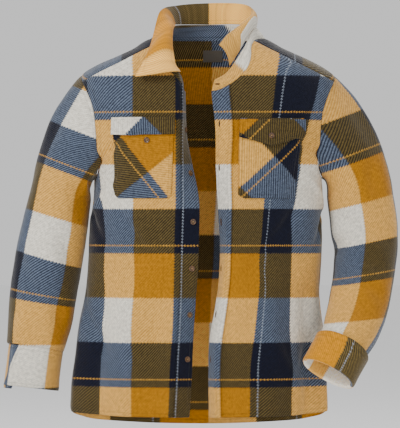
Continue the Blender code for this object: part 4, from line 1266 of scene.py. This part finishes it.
def finishCloth(thing, node, materials=None):
    for material in materials or (outerFace, innerFace):
        thing.data.materials.append(material)
    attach(thing, "root")
    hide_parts(node)
    oneSide = sum(face.area for face in thing.data.polygons) / 2
    print("made", thing.name, len(thing.data.polygons), "area", round(oneSide, 4))


# Body panels
bands = {
    -1: {"node": "button_band", "columns": 3},
    1: {"node": "buttonhole_band", "columns": 4},
}
sideWords = {-1: "right", 1: "left"}


def makeBody():
    for side, word in sideWords.items():
        def at(across, up, side=side):
            angle, height = frontPlace(side, across, up)
            return bodyPoint(side, angle, height), bodyNormal(side, angle, height)

        def lay(across, up, point, side=side):
            return frontCloth(side, *frontPlace(side, across, up))

        corners = (edgeSteps / frontColumns, (edgeSteps + neckSteps) / frontColumns)
        columns = marks(0.30, corners, (False, True))
        rows = marks(0.70, (sideRows / frontRows,))
        panel = makeSheet(f"clothFront_{word}", columns, rows, at, lay, (0.33, 0.68),
                          dips=("none", "seam", "free", "seam"))
        finishCloth(panel, f"front_{word}")
        # the band folded over the free edge
        share = bands[side]["columns"] / frontColumns

        def bandAt(across, up, side=side, share=share):
            angle, height = frontPlace(side, across * share, up)
            normal = bodyNormal(side, angle, height)
            return bodyPoint(side, angle, height) + normal * (cloth["layer"] + cloth["wall"]), normal

        def bandLay(across, up, point, side=side, share=share):
            return frontCloth(side, *frontPlace(side, across * share, up))

        columns = marks(0.038, pitch=0.0038)
        band = makeSheet(f"clothBand_{word}", columns, rows, bandAt, bandLay, (0.038, 0.68),
                         dips=("free", "free", "free", "seam"))
        finishCloth(band, bands[side]["node"])

    def backAt(across, up):
        return wholeBody(*backPlace(across, up))

    def backLay(across, up, point):
        return backCloth(*backPlace(across, up))

    columns = marks(0.52, pitch=0.0060)
    rows = marks(0.66, (sideRows / backRows,), pitch=0.0062)
    back = makeSheet("clothBack", columns, rows, backAt, backLay, (0.54, 0.66),
                     dips=("seam", "seam", "free", "seam"))
    finishCloth(back, "back")

    def yokeAt(across, out):
        return wholeBody(*yokePlace(across, out))

    def yokeLay(across, out, point):
        return yokeCloth(*yokePlace(across, out))

    columns = marks(0.90, (yokeSide / yokeColumns, 1.0 - yokeSide / yokeColumns), pitch=0.0070)
    rows = marks(0.13, pitch=0.0062)
    yoke = makeSheet("clothYoke", columns, rows, yokeAt, yokeLay, (0.90, 0.13), threads="above")
    finishCloth(yoke, "yoke")


def makeSleeves():
    for side, word in sideWords.items():
        def lay(around, along, point, side=side):
            return sleeveCloth(side, sleeveTurn(around), point)

        columns = marks(0.42, ends=(False, False), pitch=0.0066)
        rows = marks(0.62, (capShare,), pitch=0.0062)
        sleeve = makeSheet(f"clothSleeve_{word}", columns, rows, sleeveAt(side), lay, (0.42, 0.62),
                           closed=True, dips=("none", "none", "seam", "seam"))
        finishCloth(sleeve, f"sleeve_{word}")

    def straightLay(around, along, point):
        # it follows the sleeve in front, and runs on evenly from there
        turn = cuffTurnAt(around, along)
        first = sleeveCloth(-1, min(turn, 130.0), point)
        return first[0] + max(turn - 130.0, 0.0) * 0.001366, first[1]

    columns = marks(0.37)
    rows = marks(0.085, pitch=0.0045)
    cuff = makeSheet("clothCuff_right", columns, rows, straightCuffAt, straightLay, (0.37, 0.085),
                     dips=("free", "free", "seam", "free"), threads="grid")
    finishCloth(cuff, "cuff_right")

    def turnedLay(around, along, point):
        return 3 * plaid["band"] - (sleeveTurn(around) - 78.0) / 360.0 * 0.36, 0.26 - 0.155 * along

    columns = marks(0.32, ends=(False, False), pitch=0.0050)
    rows = marks(0.13, (cuffInner, cuffTurn), pitch=0.0036)
    cuff = makeSheet("clothCuff_left", columns, rows, turnedCuffAt, turnedLay, (0.32, 0.13), closed=True,
                     dips=("none", "none", "seam", "free"), threads="grid")
    finishCloth(cuff, "cuff_left")


def makeCollar():
    def standLay(share, up, point):
        return straightRead(standBands, share), straightRead(standBands, share, 2) - 0.03 * up

    corners = [count / collarColumns for count in (4, 11, 33, 40)]
    columns = marks(0.60, corners)
    rows = marks(0.036, pitch=0.0040)
    stand = makeSheet("clothStand", columns, rows, standAt, standLay, (0.60, 0.036),
                      dips=("free", "free", "seam", "seam"), threads="grid")
    finishCloth(stand, "collar_stand")

    def leafLay(across, out, point):
        # a cream strip runs along the roll on the wearer's left
        share = leafShare(across)
        pale = clamp((share - 0.70) / 0.03) * clamp((0.86 - share) / 0.03)
        return straightRead(leafBands, share), 0.135 + 0.09 * (1.0 - out) * pale

    columns = marks(0.52, pitch=0.0048)
    rows = marks(0.060, pitch=0.0044)
    leaf = makeSheet("clothLeaf", columns, rows, leafAt, leafLay, (0.52, 0.060),
                     dips=("free", "free", "seam", "free"), threads="grid")
    finishCloth(leaf, "collar_leaf")


def makePockets():
    for name, pocket in pockets.items():
        def at(across, up, pocket=pocket):
            return onFront(pocket["side"], *pocketPlace(pocket, across, up), cloth["layer"] + cloth["wall"])

        def lay(across, up, point, pocket=pocket):
            return biasCloth(pocket["bias"], *pocketPlace(pocket, across, up))

        columns, rows = marks(0.125), marks(0.158)
        piece = makeSheet("cloth_" + name, columns, rows, at, lay, (0.125, 0.158), dips=("free",) * 4)
        finishCloth(piece, name)
    for name, flap in flaps.items():
        def at(across, down, flap=flap):
            lift = 2 * (cloth["layer"] + cloth["wall"]) + 0.0022 * down
            return onFront(flap["side"], *flapPlace(flap, across, down), lift)

        def lay(across, down, point, flap=flap):
            return biasCloth(flap["bias"], *flapPlace(flap, across, down))

        columns = marks(0.128, (flap["point"],), pitch=0.0044)
        rows = marks(0.045, pitch=0.0040)
        piece = makeSheet("cloth_" + name, columns, rows, at, lay, (0.128, 0.045), dips=("free",) * 4)
        finishCloth(piece, name)


# The plain label inside the back of the neck
label = {"left": 0.000, "right": 0.040, "top": -0.006, "foot": -0.030, "wall": 0.001}


def makeLabel():
    def at(across, up):
        x = blend(label["left"], label["right"], across)
        height = blend(label["foot"], label["top"], up)
        angle = 180.0 - angleAt(x, height)
        side = 1 if x > smoothRead(bodySections, height, 1) else -1
        normal = bodyNormal(side, angle, height)
        return bodyPoint(side, angle, height) - normal * (cloth["wall"] + cloth["layer"]), normal

    def lay(across, up, point):
        return across * 0.040, up * 0.024

    columns, rows = marks(0.04, pitch=0.003), marks(0.024, pitch=0.003)
    piece = makeSheet("plainLabel", columns, rows, at, lay, (0.04, 0.024), wall=label["wall"],
                      dips=("none",) * 4)
    finishCloth(piece, "neck_label", (tape, tape))


# Buttons with a raised rim, four holes painted dark as shade, and crossed thread
buttons = {
    "radius": 0.0058,
    "height": 0.0028,
    "inset": 0.0125,
    "heights": (-0.172, -0.258, -0.3535, -0.445, -0.537, -0.6245),
    "hole": 0.00055,
    "spread": 0.0013,
    "pocketX": -0.1103,  # the right pocket's button, below its flap
    "pocketHeight": -0.1924,
    "flapDown": 0.62,  # the left flap's, as a share of the flap's depth
}
holes = {
    "width": 0.0016,
    "depth": 0.0014,
    "length": 0.015,
    "inset": 0.010,
    "lift": 0.0004,
    "collarLength": 0.011,
    "collarShare": 0.965,
    "collarLift": 0.0006,
}


def makeButton(name, node, normal):
    low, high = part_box(node)
    middle = (low + high) / 2
    radius, half = buttons["radius"], buttons["height"] / 2
    mesh = bmesh.new()
    # its outline from the middle of the back, round the rim, to the sunk middle of the face
    outline = ((0.0, -1.0), (0.80, -1.0), (0.97, -0.5), (1.0, 0.1), (0.97, 0.7), (0.86, 1.0), (0.72, 0.9),
               (0.60, 0.45), (0.30, 0.35), (0.0, 0.35))
    corners = [mesh.verts.new((x * radius, 0.0, z * half)) for x, z in outline]
    profile = [mesh.edges.new(pair) for pair in zip(corners, corners[1:])]
    bmesh.ops.spin(mesh, geom=corners + profile, axis=(0, 0, 1), cent=(0, 0, 0), angle=2 * math.pi, steps=40,
                   use_merge=True)
    bmesh.ops.remove_doubles(mesh, verts=mesh.verts[:], dist=1e-6)
    bmesh.ops.recalc_face_normals(mesh, faces=mesh.faces[:])
    # the four holes are thin discs painted dark, as painted shade
    for x in (-1, 1):
        for y in (-1, 1):
            spot = Matrix.Translation((x * buttons["spread"], y * buttons["spread"], 0.36 * half))
            made = bmesh.ops.create_cone(mesh, cap_ends=True, segments=12, radius1=buttons["hole"],
                                         radius2=buttons["hole"], depth=0.0001, matrix=spot)
            for face in {face for corner in made["verts"] for face in corner.link_faces}:
                face.material_index = 1
    for turn in (45.0, 135.0):
        spin = Matrix.Rotation(math.radians(turn), 4, "Z") @ Matrix.Rotation(math.radians(90.0), 4, "Y")
        spot = Matrix.Translation((0, 0, 0.62 * half)) @ spin
        made = bmesh.ops.create_cone(mesh, cap_ends=True, segments=10, radius1=0.0003, radius2=0.0003,
                                     depth=2.9 * buttons["spread"], matrix=spot)
        for face in {face for corner in made["verts"] for face in corner.link_faces}:
            face.material_index = 2
    turn = normal.to_track_quat("Z", "Y").to_matrix().to_4x4()
    bmesh.ops.transform(mesh, matrix=Matrix.Translation(middle) @ turn, verts=mesh.verts[:])
    piece = addPiece(name, mesh)
    for material in (horn, holeShade, thread):
        piece.data.materials.append(material)
    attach(piece, "root")
    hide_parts(node)


def makeHole(name, at, length, turn):
    # A worked rim of thread round a slit painted dark as shade, lying on the cloth
    point, normal = at
    mesh = bmesh.new()
    bmesh.ops.create_cone(mesh, cap_ends=True, segments=20, radius1=1.0, radius2=0.75, depth=0.6)
    top = [face for face in mesh.faces if face.normal.z > 0.9]
    bmesh.ops.inset_region(mesh, faces=top, thickness=0.34, depth=-0.2)
    for face in top:
        face.material_index = 1
    scale = Matrix.Diagonal((holes["width"], length / 2, holes["depth"], 1.0))
    spin = normal.to_track_quat("Z", "Y").to_matrix().to_4x4()
    spin = spin @ Matrix.Rotation(math.radians(turn), 4, "Z")
    bmesh.ops.transform(mesh, matrix=Matrix.Translation(point) @ spin @ scale, verts=mesh.verts[:])
    bmesh.ops.recalc_face_normals(mesh, faces=mesh.faces[:])
    piece = addPiece(name, mesh)
    for material in (darkThread, holeShade):
        piece.data.materials.append(material)
    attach(piece, "root")


def makeTrims():
    for number, height in enumerate(buttons["heights"], 1):
        angle = turnAngle(-1, height) * buttons["inset"] / edgeWidth[-1]
        makeButton(f"button_made_{number}", f"button_{number}", bodyNormal(-1, angle, height))
        # the two upper buttonholes stand a little higher than their buttons
        level = height + (0.012 if number < 3 else 0.0)
        angle = turnAngle(1, level) * holes["inset"] / edgeWidth[1]
        normal = bodyNormal(1, angle, level)
        lift = cloth["layer"] + cloth["wall"] + holes["lift"]
        spot = (bodyPoint(1, angle, level) + normal * lift, normal)
        makeHole(f"buttonhole_{number}", spot, holes["length"], 0.0)
    # the right pocket's button is on the pocket below its flap, the left one is on its flap
    flap = flaps["flap_left"]
    spots = {
        "right": (-1, buttons["pocketX"], buttons["pocketHeight"]),
        "left": (1, *flapPlace(flap, flap["point"], buttons["flapDown"])),
    }
    for word, spot in spots.items():
        makeButton(f"flap_button_made_{word}", f"flap_button_{word}", onFront(*spot, 0.0)[1])
    point, normal = standAt(holes["collarShare"], 0.5)
    spot = (point + normal * holes["collarLift"], normal)
    makeHole("buttonhole_collar", spot, holes["collarLength"], 90.0)


# The room: its lights by place, aim, size and power, and the camera, level and square to the front
room = {
    "floor": -0.86,
    "floorShade": 0.94,
    "sky": 0.78,
    "lights": {
        "keyLight": ((-2.7, -2.7, 1.9), (0.0, 0.0, -0.35), 1.1, 96.0),
        "fillLight": ((2.8, -3.4, 0.4), (0.0, 0.0, -0.40), 2.4, 12.0),
        "frontLight": ((0.1, -6.2, -0.30), (0.0, 0.0, -0.40), 1.2, 22.0),
        "topLight": ((0.3, 0.6, 2.6), (0.0, 0.0, -0.30), 1.6, 30.0),
    },
    "camera": (-0.006, -7.5, -0.338),
    "lens": 315.4,
}


def makeRoom():
    mesh = bmesh.new()
    bmesh.ops.create_grid(mesh, x_segments=1, y_segments=1, size=14.0)
    bmesh.ops.translate(mesh, vec=(0.0, 6.0, room["floor"]), verts=mesh.verts[:])
    floor = addPiece("floor", mesh)
    material, tree, shader, start = startMaterial("paleFloor")
    shader.inputs["Base Color"].default_value = (room["floorShade"],) * 3 + (1.0,)
    shader.inputs["Roughness"].default_value = 0.9
    floor.data.materials.append(material)
    world = bpy.context.scene.world or bpy.data.worlds.new("studio")
    bpy.context.scene.world = world
    world.use_nodes = True
    background = world.node_tree.nodes["Background"]
    background.inputs[0].default_value = (1.0, 1.0, 1.0, 1.0)
    background.inputs[1].default_value = room["sky"]
    for name, (spot, aim, size, power) in room["lights"].items():
        light = bpy.data.lights.new(name, "AREA")
        light.size = size
        light.energy = power
        lamp = bpy.data.objects.new(name, light)
        lamp.location = spot
        lamp.rotation_euler = (Vector(aim) - Vector(spot)).to_track_quat("-Z", "Y").to_euler()
        bpy.context.scene.collection.objects.link(lamp)
    view = bpy.data.cameras.new("camera")
    view.sensor_width = 36.0
    view.lens = room["lens"]
    view.clip_end = 100.0
    camera = bpy.data.objects.new("camera", view)
    camera.location = room["camera"]
    camera.rotation_euler = (math.radians(90.0), 0.0, 0.0)
    bpy.context.scene.collection.objects.link(camera)
    bpy.context.scene.camera = camera


stages = {
    "room": makeRoom,
    "body": makeBody,
    "sleeves and cuffs": makeSleeves,
    "collar": makeCollar,
    "pockets and flaps": makePockets,
    "label": makeLabel,
    "buttons and buttonholes": makeTrims,
}
for stage, make in stages.items():
    make()
    print("made the", stage)
